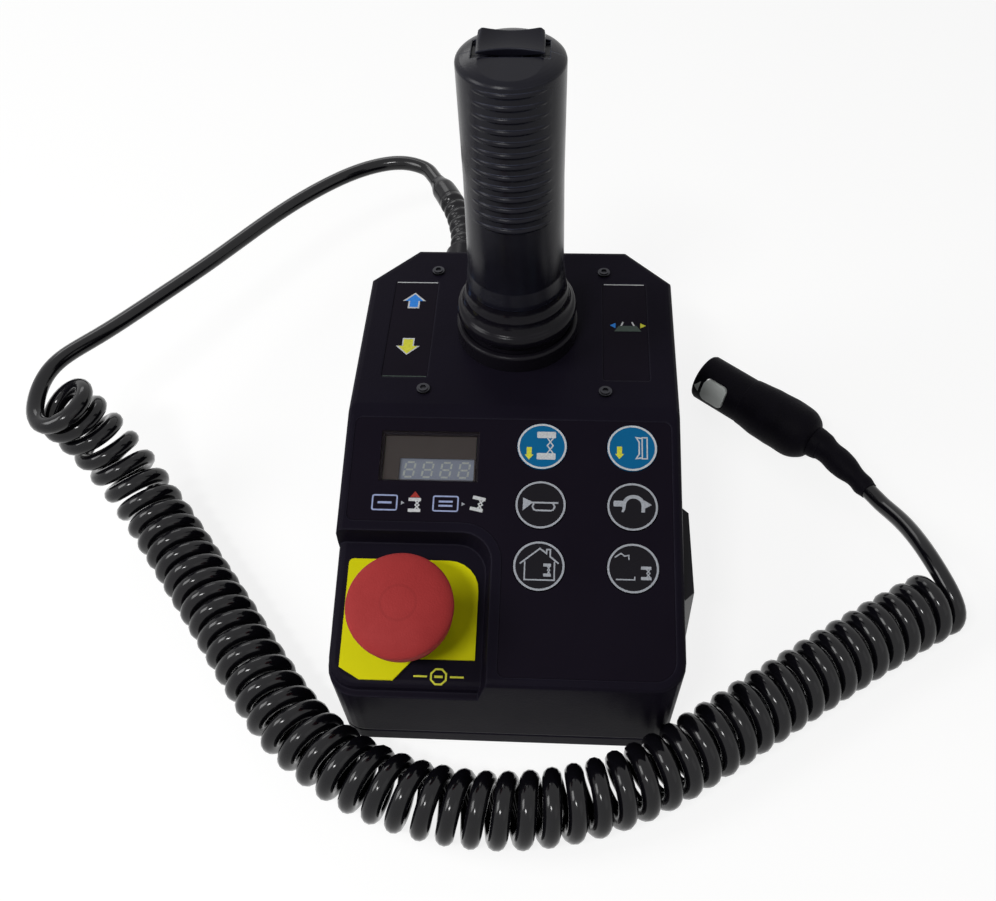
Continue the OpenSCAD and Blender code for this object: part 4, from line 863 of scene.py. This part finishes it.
class ControllerStop(bpy.types.PropertyGroup):
    radius: length("Head radius", "Radius of the mushroom head", 0.02)
    rim: length("Rim lift", "Height of the head's rim over the panel", 0.0155)
    top: length("Dome lift", "Height of the dome's top over the panel", 0.024)


class ControllerStick(bpy.types.PropertyGroup):
    boot_bulge: length("Boot bulge", "Largest radius of the boot", 0.0255)
    boot_top: length("Boot top", "Radius where the boot enters the grip", 0.0205)
    boot_wall: length("Boot wall", "Thickness of the boot", 0.0018)
    rocker_width: length("Rocker width", "Width of the thumb rocker", 0.024)
    trigger_width: length("Trigger width", "Width of the enable trigger", 0.016)


class ControllerCord(bpy.types.PropertyGroup):
    cord_diameter: length("Cord diameter", "Diameter of the cord", 0.0075)
    curl_diameter: length("Curl diameter", "Outer diameter of the curls", 0.0293)
    curl_count: IntProperty(name="Curls", description="Number of curls", default=55)
    curl_rings: IntProperty(name="Points a curl", description="Points in a curl", default=28)
    grooves: IntProperty(name="Grooves", description="Grooves of the strain relief", default=9)


class ControllerColours(bpy.types.PropertyGroup):
    stop: colour("Stop red", "Colour of the stop button", "B03A3A")
    cord: colour("Cord black", "Colour of the cord's jacket", "0A0A0C")
    floor: colour("Floor", "Colour of the floor", "F2F2F0")


class ControllerLight(bpy.types.PropertyGroup):
    key: power("Key lamp", "Power of the key lamp", 4.4)
    fill: power("Fill lamp", "Power of the fill lamp", 0.4)
    rim: power("Rim lamp", "Power of the rear lamp", 1.4)
    glint: power("Glint lamp", "Power of the small lamp by the camera", 3.8)
    sky: FloatProperty(name="Sky", description="Strength of the even light", default=0.15)


# ---- Operators, one for each piece or group of pieces


def seen_rays(add):
    """1 for what the camera sees, plainly or in gloss or glass, and 0 for light on things."""
    rays = add("ShaderNodeLightPath")
    seen = add("ShaderNodeMath", (rays["Is Camera Ray"], rays["Is Glossy Ray"]),
               operation="MAXIMUM")[0]
    return add("ShaderNodeMath", (seen, rays["Is Transmission Ray"]),
               operation="MAXIMUM")[0]


class CONTROLLER_OT_stage(bpy.types.Operator):
    """Camera, lamps, world and floor"""

    bl_idname = "controller.stage"
    bl_label = "Stage"

    def execute(self, context):
        scene, light = context.scene, context.scene.controller_light
        # The camera that fits the photograph, in its pixels
        wide, high, focal, middle_x, middle_y = 996, 901, 1097.709, 500.864, 450.451
        lens = bpy.data.cameras.new("photo camera")
        lens.sensor_fit = "HORIZONTAL"
        lens.sensor_width = 36.0
        lens.lens = focal / wide * lens.sensor_width
        lens.shift_x = (wide / 2 - middle_x) / wide
        lens.shift_y = (middle_y - high / 2) / wide
        lens.clip_start = 0.01
        right = (0.9982455654, 0.0510720805, -0.0299571993)
        up = (-0.0202035978, 0.7693930921, 0.6384560160)
        back = (0.0556561393, -0.6367306435, 0.7690750820)
        turn = Matrix((right, up, back)).transposed().to_4x4()
        scene.camera = new_object("photo camera", lens)
        scene.camera.matrix_world = (
            Matrix.Translation((0.0205511, -0.2958595, 0.4194126)) @ turn)

        aim = Vector((0, 0, 0.05))
        lamps = (("key lamp", (-0.85, -0.15, 0.75), (0.45, 0.45), light.key),
                 ("fill lamp", (0.75, -0.65, 0.8), (0.7, 0.7), light.fill),
                 ("rim lamp", (-0.5, 0.95, 0.75), (0.5, 0.3), light.rim),
                 ("glint lamp", (-0.3, -0.58, 0.96), (0.26, 0.11), light.glint))
        for name, spot, size, watts in lamps:
            data = bpy.data.lights.new(name, "AREA")
            data.shape = "RECTANGLE"
            data.size, data.size_y = size
            data.energy = watts
            turn = (aim - Vector(spot)).to_track_quat("-Z", "Y").to_matrix().to_4x4()
            new_object(name, data).matrix_world = Matrix.Translation(spot) @ turn

        world = bpy.data.worlds.new("studio")
        scene.world = world
        world.use_nodes = True
        world.node_tree.nodes.clear()
        add = partial(add_node, world.node_tree)
        sky = add("ShaderNodeBackground", {"Color": WHITE, "Strength": light.sky})[0]
        white = add("ShaderNodeBackground", {"Color": WHITE, "Strength": 1.0})[0]
        both = add("ShaderNodeMixShader", (seen_rays(add), sky, white))[0]
        add("ShaderNodeOutputWorld", {"Surface": both})

        # Painted board: pale and matt, with clouds 170 mm across and the object's shadow.
        # Most of what is seen of it is its glow, so that it is white where no shadow falls
        glow_strength, glow_share = 1.14, 0.74
        material, add, where = new_finish("pale painted board")
        cloud = add("ShaderNodeTexNoise", {"Vector": where, "Scale": 6.0, "Detail": 3.0})[0]
        pale = rgba(scene.controller_colours.floor)
        tint = add("ShaderNodeMix", {0: cloud, 6: pale, 7: rgba("EFEFEE")},
                   data_type="RGBA")[2]
        paint = add("ShaderNodeBsdfPrincipled", {
            "Base Color": tint, "Roughness": 0.9, "Specular IOR Level": 0.1})[0]
        glow = add("ShaderNodeEmission", {"Color": WHITE, "Strength": glow_strength})[0]
        share = add("ShaderNodeMath", (seen_rays(add), glow_share),
                    operation="MULTIPLY")[0]
        both = add("ShaderNodeMixShader", (share, paint, glow))[0]
        add("ShaderNodeOutputMaterial", {"Surface": both})
        reach = 2.5
        corners = [(x, y, 0) for x, y in box(-reach, -reach, reach, reach)]
        put_together("floor", corners, [(0, 1, 2, 3)], [material])
        scene.view_settings.view_transform = "Standard"
        return {"FINISHED"}


class CONTROLLER_OT_cord(bpy.types.Operator):
    """The curly cord with its strain relief, sleeve and plug"""

    bl_idname = "controller.cord"
    bl_label = "Cord and plug"

    def execute(self, context):
        sizes = context.scene.controller_cord
        line = cord_line(sizes)
        data = bpy.data.curves.new("cord", "CURVE")
        data.dimensions = "3D"
        data.bevel_depth = sizes.cord_diameter / 2
        data.bevel_resolution = 4
        data.use_fill_caps = True
        data.twist_mode = "MINIMUM"
        spline = data.splines.new("POLY")
        spline.points.add(len(line) - 1)
        for point, p in zip(spline.points, line):
            point.co = (*p, 1.0)
        spline.use_smooth = True
        data.materials.append(FINISH["cord"])
        cord = new_object("cord", data)
        set_on(cord, "housing", ("cord_lead", "cord_curls", "cord_tail"))

        tree = sleeve_tree()

        def sleeve_on(name, route, stands_for, values):
            """A ribbed sleeve along a route, in place of a CAD node."""
            edges = [(i, i + 1) for i in range(len(route) - 1)]
            start = new_mesh("line", [p * MM for p in route], [], edges)
            sleeve = grown(name, start, tree, values)
            set_on(sleeve, "housing", (stands_for,))
            return sleeve

        relief = sleeve_on("relief_sleeve", relief_line(12), "strain_relief", {
            "Root radius": 0.0072, "Tip radius": 0.006, "Groove depth": 0.0015,
            "Grooves": sizes.grooves, "Grooved share": 0.72, "End size": 0.7, "Steps": 190,
            "Finish": FINISH["relief"]})
        route = led(PLUG_END, -STRAIGHT * PLUG_DIR, SLEEVE_ROUTE, -STRAIGHT * TAIL_DIR,
                    TAIL_END, 8)
        sleeve = sleeve_on("plug_boot", route, "plug_sleeve", {
            "Root radius": 0.0077, "Tip radius": 0.0049, "Groove depth": 0.0009, "Grooves": 2,
            "End size": 0.84, "Steps": 80, "Finish": FINISH["plug"]})

        profile = smooth(vectors(
            (7.3, 0.0), (10.3, 1.9), (12.7, 6.0), (13.5, 11.4), (13.55, 19.0), (13.3, 26.6),
            (12.5, 34.2), (12.1, 38.0)), 5)
        profile = [(0, 0), *((r * MM, h * MM) for r, h in profile), (0, 38.0 * MM)]

        def lumps(radius, angle, height):
            """The radius with shallow lumps, as the moulding has."""
            girth, size, depth = 9, 6.5, 0.035
            spot = Vector((girth * math.cos(angle), girth * math.sin(angle), height / MM))
            return radius * (1 - depth * (0.5 + 0.5 * noise.noise(spot / size)))

        body = put_together("plug_grip", *lathe(profile, 72, PLUG, lumps), [FINISH["plug"]])
        set_on(body, "housing", ("plug_body",))

        # A pale wedge moulded beside the latch points the way into the socket: steep on one
        # side and slow on the other
        tilt = PLUG @ Matrix.Rotation(math.radians(20), 4, "Z") @ Matrix.Scale(MM, 4)
        columns, foot, rise, width = 12, 60.2, 3.6, 5.8
        inside, middle, outside = 11.4, 11.6, 11.72
        verts = []
        for k in range(columns + 1):
            u = k / columns
            head = foot + rise * min(1.0, u * 2.2) * min(1.0, (1 - u) * 1.35)
            a = math.radians(-90) + (u - 0.5) * width / middle
            for r, h in ((inside, foot), (outside, foot), (outside, head), (inside, head)):
                verts.append(tilt @ Vector((r * math.cos(a), r * math.sin(a), h)))
        faces = [(4 * k + i, 4 * k + (i + 1) % 4, 4 * k + 4 + (i + 1) % 4, 4 * k + 4 + i)
                 for k in range(columns) for i in range(4)]
        faces += [(0, 1, 2, 3), tuple(4 * columns + i for i in (3, 2, 1, 0))]
        mark = put_together("plug_mark", verts, faces, [FINISH["grey_plastic"]])
        set_on(mark, "housing")

        pins = grown("plug_contacts", bpy.data.meshes.new("contacts"), circle_tree(),
                     {"Finish": FINISH["bronze"]},
                     PLUG @ Matrix.Translation((0, 0, 51.2 * MM)))
        set_on(pins, "housing")

        tuple(line[0])
        return {"FINISHED"}


class CONTROLLER_OT_finishes(bpy.types.Operator):
    """Finishes of the CAD nodes that are shown as they are"""

    bl_idname = "controller.finishes"
    bl_label = "Finishes"

    def execute(self, context):
        for finish, names in NODE_FINISH.items():
            for name in names:
                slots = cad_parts[name].data.materials
                slots.clear()
                slots.append(FINISH[finish])
        return {"FINISHED"}


class CONTROLLER_OT_stick(bpy.types.Operator):
    """Boot, thumb rocker and enable trigger of the joystick"""

    bl_idname = "controller.stick"
    bl_label = "Joystick"

    def execute(self, context):
        sizes = context.scene.controller_stick

        # The boot: shares of its bulge and of its height, up two rolls and into the grip
        low, high = 4 * MM, 29.2 * MM
        span = sizes.boot_bulge - sizes.boot_top
        shares = ((0.62, 0), (0.62, 0.25), (0.88, 0.32), (1, 0.4), (0.98, 0.47), (0.84, 0.53),
                  (0.6, 0.57), (0.42, 0.64), (0.33, 0.72), (0.3, 0.78), (0.16, 0.83),
                  (0.05, 0.9), (0, 1))
        outer = smooth([Vector((sizes.boot_top + a * span, low + b * (high - low)))
                        for a, b in shares], 6)
        inner = [Vector((p.x - sizes.boot_wall, p.y)) for p in reversed(outer)]
        boot = put_together("rubber_boot", *lathe(outer + inner, 96, STICK_FOOT),
                            [FINISH["boot"]], sharp=50)
        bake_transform(boot)
        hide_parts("boot")

        # The rocker, in millimetres from its pin: a saddle scooped towards the thumb, on a
        # neck whose barrel turns inside the grip
        half, low, front, back = sizes.rocker_width / 2 / MM, 9.2, -4.0, 8.0
        scoop, belly = 2.3, 2.2  # of the front edge, and of the underside
        lip_rise, middle_rise, horn_rise = 0.75, 2.05, 1.35  # of the front, and of the back
        rolled, end_share = 0.14, 0.62  # where an end rolls over, and what it keeps of its rise
        lean = 0.375  # of the ends, for each millimetre that they rise over one
        across, deep = 28, 16
        row = across + 1
        above, below = [], []
        for k in range(deep + 1):
            v = k / deep  # from front to back
            for i in range(row):
                t = 2 * i / across - 1  # from side to side
                lip = front + scoop * (1 - t * t)
                y = lip + (back - lip) * v
                crest = middle_rise + horn_rise * abs(t) ** 1.7
                rise = lip_rise + (crest - lip_rise) * (0.25 * v + 0.75 * v ** 2.2)
                turned = max(0.0, abs(t) - 1 + rolled) / rolled
                rise *= end_share + (1 - end_share) * math.sqrt(max(0.0, 1 - turned ** 2))
                x = t * (half - lean * max(0.0, rise - 1))
                above.append((x, y, low + rise))
                below.append((half * t, y, low - belly * (1 - t * t)))
        faces = []
        for base, flip in ((0, 1), (len(above), -1)):
            for k in range(deep):
                for i in range(across):
                    c = base + k * row + i
                    faces.append((c, c + 1, c + row + 1, c + row)[::flip])
        rim = (list(range(row)) + [k * row + across for k in range(1, deep + 1)]
               + [deep * row + i for i in range(across - 1, -1, -1)]
               + [k * row for k in range(deep - 1, 0, -1)])
        for a, b in zip(rim, rim[1:] + rim[:1]):
            faces.append((a, b, b + len(above), a + len(above)))
        neck, barrel = 4, arc(0, 0, 9, 138, 397.6, 59)
        outline = [(-neck, low + 0.3), (-neck, 6), *barrel, (neck, 6), (neck, low + 0.3)]
        verts, faces = merged(((above + below, faces), between(
            *([(x, y, z) for x, z in outline] for y in (front + 2.6, back)))))
        place = Matrix.Translation((0, STICK, DECK + 124.8 * MM)) @ Matrix.Scale(MM, 4)
        rocker = put_together("thumb_rocker", [place @ Vector(p) for p in verts], faces,
                              [FINISH["grip"]], sharp=50)
        set_on(rocker, "rocker", ("rocker_cap",))
        round_edges(rocker, 0.45 * MM, 45)

        # The trigger, in millimetres from its pin: a lever with two finger hollows
        outline = smooth(vectors(
            (15.0, 4.5), (20.8, 4.3), (21.6, -1.6), (23.0, -6.4), (22.0, -14.4),
            (20.5, -20.8), (22.0, -27.2), (23.4, -31.0), (22.0, -32.0)), 5)
        outline += vectors((15, -32), (15, -5.4), (10.6, -2), (10.6, 2), (13, 3.5))
        place = Matrix.Translation((0, STICK, DECK + 109.3 * MM)) @ Matrix.Scale(MM, 4)
        half = sizes.trigger_width / 2 / MM
        trigger = put_together("trigger_lever", *between(
            *([place @ Vector((x, p.x, p.y)) for p in outline] for x in (-half, half))),
            [FINISH["black_plastic"]])
        set_on(trigger, "enable_trigger", ("trigger",))
        round_edges(trigger, 0.8 * MM, 40)
        return {"FINISHED"}


class CONTROLLER_OT_stop(bpy.types.Operator):
    """Mushroom head of the stop button, and the plain mark beside it"""

    bl_idname = "controller.stop"
    bl_label = "Stop button"

    def execute(self, context):
        sizes = context.scene.controller_stop
        r, rim, top = (size / MM for size in (sizes.radius, sizes.rim, sizes.top))
        bore = 8.05  # the hole that the shank fills
        shoulder = rim + 4  # where the dome begins
        angles = [math.radians(a) for a in range(2, 90, 4)]
        outline = [(bore, 6.8), (12, 6.8), (12, rim + 3), (r - 3, rim + 3), (r - 3, rim - 4),
                   (r - 2.4, rim - 4.8), (r - 1.6, rim - 5), (r - 1, rim - 4.6),
                   (r - 0.6, rim - 1), (r - 0.35, rim + 0.4), (r - 0.1, rim + 2)]
        outline += [(r * math.cos(a), shoulder + (top - shoulder) * math.sin(a))
                    for a in angles]
        outline += [(0, top), (0, rim + 2.05), (bore, rim + 2.05)]
        place = PANEL @ Matrix.Translation((STOP_X, STOP_Y, 0)) @ Matrix.Scale(MM, 4)
        head = put_together("mushroom_head", *lathe(outline, 96, place), [FINISH["red"]],
                            sharp=40)
        set_on(head, "stop_mushroom", ("stop_head",))

        # A plain eight-sided sign between two dashes, printed on the recess floor
        sign = stroke(arc(0, 0, 3.1, 22.5, 337.5, 7), 0.7, True)
        bar, dash = [box(-1.6, -0.45, 1.6, 0.45)], [box(-2.6, -0.35, 2.6, 0.35)]
        x, y, floor = -24.6, -108.4, -8.5
        marks = [(FINISH["yellow_ink"], moved(loops, x + aside, y))
                 for loops, aside in ((sign, 0), (bar, 0), (dash, -7), (dash, 7))]
        printed("stop_mark", "housing", marks, PANEL, floor)
        return {"FINISHED"}


def key_drawings():
    """The pictograms of the six keys, in the order of their nodes: a lift that comes down, one
    seen from its side, a horn, a way over a hump, a lift in a house and a lift outside."""
    pale, yellow, white = FINISH["pale_ink"], FINISH["yellow_ink"], FINISH["white_ink"]
    down = arrow(1.8, 5.4, 2.2, 1.0)
    lower = [(yellow, moved(down, -5.2, -3.2, 180))]
    lower += [(white, moved(loops, 1.7, 0.3)) for loops in lift_mark(3.8, 12.2, 0.5)]
    side = [(yellow, moved(down, -5.1, -2.2, 180)),
            (white, stroke(box(4.0, -4.6, 6.0, 4.6), 0.5, True)),
            (white, stroke([(4.0, 4.2), (1.6, 4.6), (2.8, 2.6), (2.8, -2.6), (1.6, -4.6),
                            (4.0, -4.2)], 0.55))]
    horn = [(pale, [[(-7.0, 2.9), (-3.6, 1.3), (-3.6, 0.4), (-7.0, -2.6)]]),
            (pale, stroke([(-3.6, 0.85), (7.0, 0.85)], 0.7)),
            (pale, stroke([(-2.6, 0.5), (-3.2, -0.8), (-2.6, -2.1), (-1.8, -2.4), (4.2, -2.4),
                           (5.0, -2.1), (5.6, -0.8), (5.0, 0.5)], 0.65))]
    over = [(pale, [arc(0.4, 0.4, 4.6, 0, 180, 18) + arc(0.4, 0.4, 3.1, 180, 0, 18)]),
            (pale, [box(-7.5, 0.0, -3.6, 2.4, 0.5)]),
            (pale, [[(-4.2, 0.5), (-2.7, 0.5), (-2.9, -1.2), (-3.6, -2.4), (-4.4, -2.2),
                     (-3.9, -0.9)]]),
            (pale, [[(3.5, 0.5), (4.6, 2.8), (7.5, 0.9), (4.9, -0.6), (4.8, -2.3),
                     (3.4, -2.3)]])]
    home = [(pale, stroke([(-7.4, 0.8), (0.3, 7.1), (2.9, 5.0), (2.9, 6.7), (4.3, 6.7),
                           (4.3, 3.8), (7.6, 1.1)], 0.6)),
            (pale, stroke([(-5.5, 1.7), (-5.5, -5.6), (6.0, -5.6), (6.0, 1.7)], 0.55))]
    home += [(pale, moved(loops, 3.2, -1.6)) for loops in lift_mark(1.5, 5.2, 0.4)]
    out = [(pale, stroke([(-7.0, 4.2), (-4.6, 5.9), (-3.2, 4.8), (-1.6, 5.2), (-1.6, 3.3)],
                         0.5)),
           (pale, stroke([(-6.6, -4.6), (0.6, -4.6), (0.6, -3.3)], 0.5))]
    out += [(pale, moved(loops, 5.0, -1.9)) for loops in lift_mark(2.0, 5.4, 0.4)]
    return (lower, side, horn, over, home, out)


class CONTROLLER_OT_keypad(bpy.types.Operator):
    """Rings and pictograms of the keys, the icons under the display and its digits"""

    bl_idname = "controller.keypad"
    bl_label = "Keypad and display"

    def execute(self, context):
        sizes = context.scene.controller_keypad
        tree = ring_tree()
        for n, drawing in enumerate(key_drawings()):
            x = (sizes.left_column, sizes.right_column)[n % 2]
            s = sizes.first_row + (n // 2) * sizes.row_pitch
            place = PANEL @ Matrix.Translation((x, -s, sizes.key_lift))
            ring = grown(f"key_ring_{n + 1}", bpy.data.meshes.new("ring"), tree, {
                "Radius": sizes.ring_radius, "Width": sizes.ring_width,
                "Finish": FINISH["white_ink" if n < 2 else "pale_ink"]}, place)
            set_on(ring, f"button_{n + 1}")
            printed(f"key_sign_{n + 1}", f"button_{n + 1}", drawing, place, 0.0)

        # Two frames with plain bars, and beside each a pointer and a small lift, the
        # second of which leans
        white, rim, pale = FINISH["white_ink"], FINISH["frame_ink"], FINISH["pale_ink"]
        frame_loops = stroke(box(-4.9, -3.1, 4.9, 3.1, 0.7), 0.6, True)
        left, right, middle = -49.6, -25.2, -41.4
        icons = [(rim, moved(frame_loops, x, middle)) for x in (left, right)]
        icons += [(rim, moved([box(-2.8, low, 2.8, high)], x, middle)) for x, low, high in
                  ((left, -0.45, 0.45), (right, 0.5, 1.3), (right, -1.3, -0.5))]
        icons += [(pale, moved([[(-0.6, 0.8), (0.7, 0), (-0.6, -0.8)]], x, middle))
                  for x in (-42.4, -18.2)]
        icons += [(white, moved(loops, -37.6, -42.2)) for loops in lift_mark(2.5, 6.0, 0.5)]
        icons.append((FINISH["red_ink"], [[(-39.6, -39.0), (-35.6, -39.0), (-37.6, -36.4)]]))
        icons += [(white, moved(loops, -12.4, -41.2, -12))
                  for loops in lift_mark(2.6, 6.2, 0.5)]
        printed("panel_icons", "housing", icons, PANEL, 0.0)

        mask = [box(-51.6, -30.6, -14.4, -11.4), box(-45.2, -30.4, -14.9, -21.2)[::-1]]
        printed("display_mask", "housing", [(FINISH["mask"], mask)], PANEL, -2.2,
                0.05)

        # One leaning figure of seven bars, copied four times in a row, unlit
        w, h, gap, bar, lean = 1.9, 3.2, 0.5, 0.75, 0.14
        parts = []
        for ends in (((-w, h), (w, h)), ((-w, 0), (w, 0)), ((-w, -h), (w, -h)),
                     ((-w, 0), (-w, h)), ((w, 0), (w, h)), ((-w, -h), (-w, 0)),
                     ((w, -h), (w, 0))):
            a, b = vectors(*ends)
            along = (b - a).normalized() * gap
            (loop,) = stroke([a + along, b - along], bar)
            parts.append(prism([[(x + lean * y, y) for x, y in loop]], -0.05, 0.08, Matrix()))
        figures = grown("digit_figures", new_mesh("figure", *merged(parts)), row_tree(),
                        {"Finish": FINISH["digit"]},
                        PANEL @ Matrix.Translation((-30 * MM, -25.8 * MM, -3 * MM)))
        set_on(figures, "housing")
        return {"FINISHED"}


class CONTROLLER_OT_deck(bpy.types.Operator):
    """Painted highlights along the two deck labels' edges, and the arrows and the road sign
    printed on them
    """

    bl_idname = "controller.deck"
    bl_label = "Deck labels"

    def execute(self, context):
        white, blue, yellow = FINISH["white_ink"], FINISH["blue_ink"], FINISH["yellow_ink"]
        dim, edging, left = FINISH["dim_ink"], arrow(5.2, 10.2, 5.4, 2.6), -47.3
        # The three thin bars are painted highlights along the labels' edges: white on the top
        # edges, dimmer on the left label's bottom edge
        shapes = [(white, [box(-56.2, 81.4, -37.6, 81.9)]),
                  (dim, [box(-56.2, 22.4, -37.6, 22.8)]),
                  (white, [box(37.9, 81.4, 56.0, 81.9)]),
                  (white, moved(edging, left, 69.6)),
                  (blue, moved(arrow(4.0, 8.4, 4.4, 1.9), left, 69.5)),
                  (white, moved(edging, left, 40.4, 180)),
                  (yellow, moved(arrow(4.2, 8.8, 4.6, 2.1), left, 40.4, 180)),
                  (dim, [[(42.2, 51.6), (54.0, 51.6), (52.0, 55.0), (44.2, 55.0)]]),
                  (white, stroke([(44.6, 53.4), (46.2, 57.4)], 0.7)),
                  (white, stroke([(51.6, 53.4), (50.0, 57.4)], 0.7)),
                  (blue, [[(40.4, 55.2), (42.8, 56.8), (42.8, 53.6)]]),
                  (yellow, [[(56.0, 55.2), (53.6, 56.8), (53.6, 53.6)]])]
        printed("deck_marks", "housing", shapes, TOP, -0.2)
        return {"FINISHED"}


class CONTROLLER_PT_panel(bpy.types.Panel):
    """Lists the controller's operators and sizes"""

    bl_idname = "CONTROLLER_PT_panel"
    bl_label = "Scissor lift controller"
    bl_space_type = "VIEW_3D"
    bl_region_type = "UI"
    bl_category = "Controller"

    def draw(self, context):
        layout = self.layout
        for operator in OPERATORS:
            layout.operator(operator.bl_idname)
        for name, group in GROUPS.items():
            for prop in group.__annotations__:
                layout.prop(getattr(context.scene, name), prop)


GROUPS = {
    "controller_keypad": ControllerKeypad,
    "controller_stop": ControllerStop,
    "controller_stick": ControllerStick,
    "controller_cord": ControllerCord,
    "controller_colours": ControllerColours,
    "controller_light": ControllerLight,
}
OPERATORS = (
    CONTROLLER_OT_stage,
    CONTROLLER_OT_cord,
    CONTROLLER_OT_finishes,
    CONTROLLER_OT_stick,
    CONTROLLER_OT_stop,
    CONTROLLER_OT_keypad,
    CONTROLLER_OT_deck,
)


def register():
    for group in GROUPS.values():
        bpy.utils.register_class(group)
    for name, group in GROUPS.items():
        setattr(bpy.types.Scene, name, PointerProperty(type=group))
    for operator in OPERATORS:
        bpy.utils.register_class(operator)
    bpy.utils.register_class(CONTROLLER_PT_panel)


def unregister():
    bpy.utils.unregister_class(CONTROLLER_PT_panel)
    for operator in reversed(OPERATORS):
        bpy.utils.unregister_class(operator)
    for name, group in GROUPS.items():
        delattr(bpy.types.Scene, name)
        bpy.utils.unregister_class(group)


def main():
    register()
    make_finishes(bpy.context.scene.controller_colours)
    bpy.ops.controller.stage()
    bpy.ops.controller.cord()
    bpy.ops.controller.finishes()
    bpy.ops.controller.stick()
    bpy.ops.controller.stop()
    bpy.ops.controller.keypad()
    bpy.ops.controller.deck()


if __name__ == "__main__":
    main()
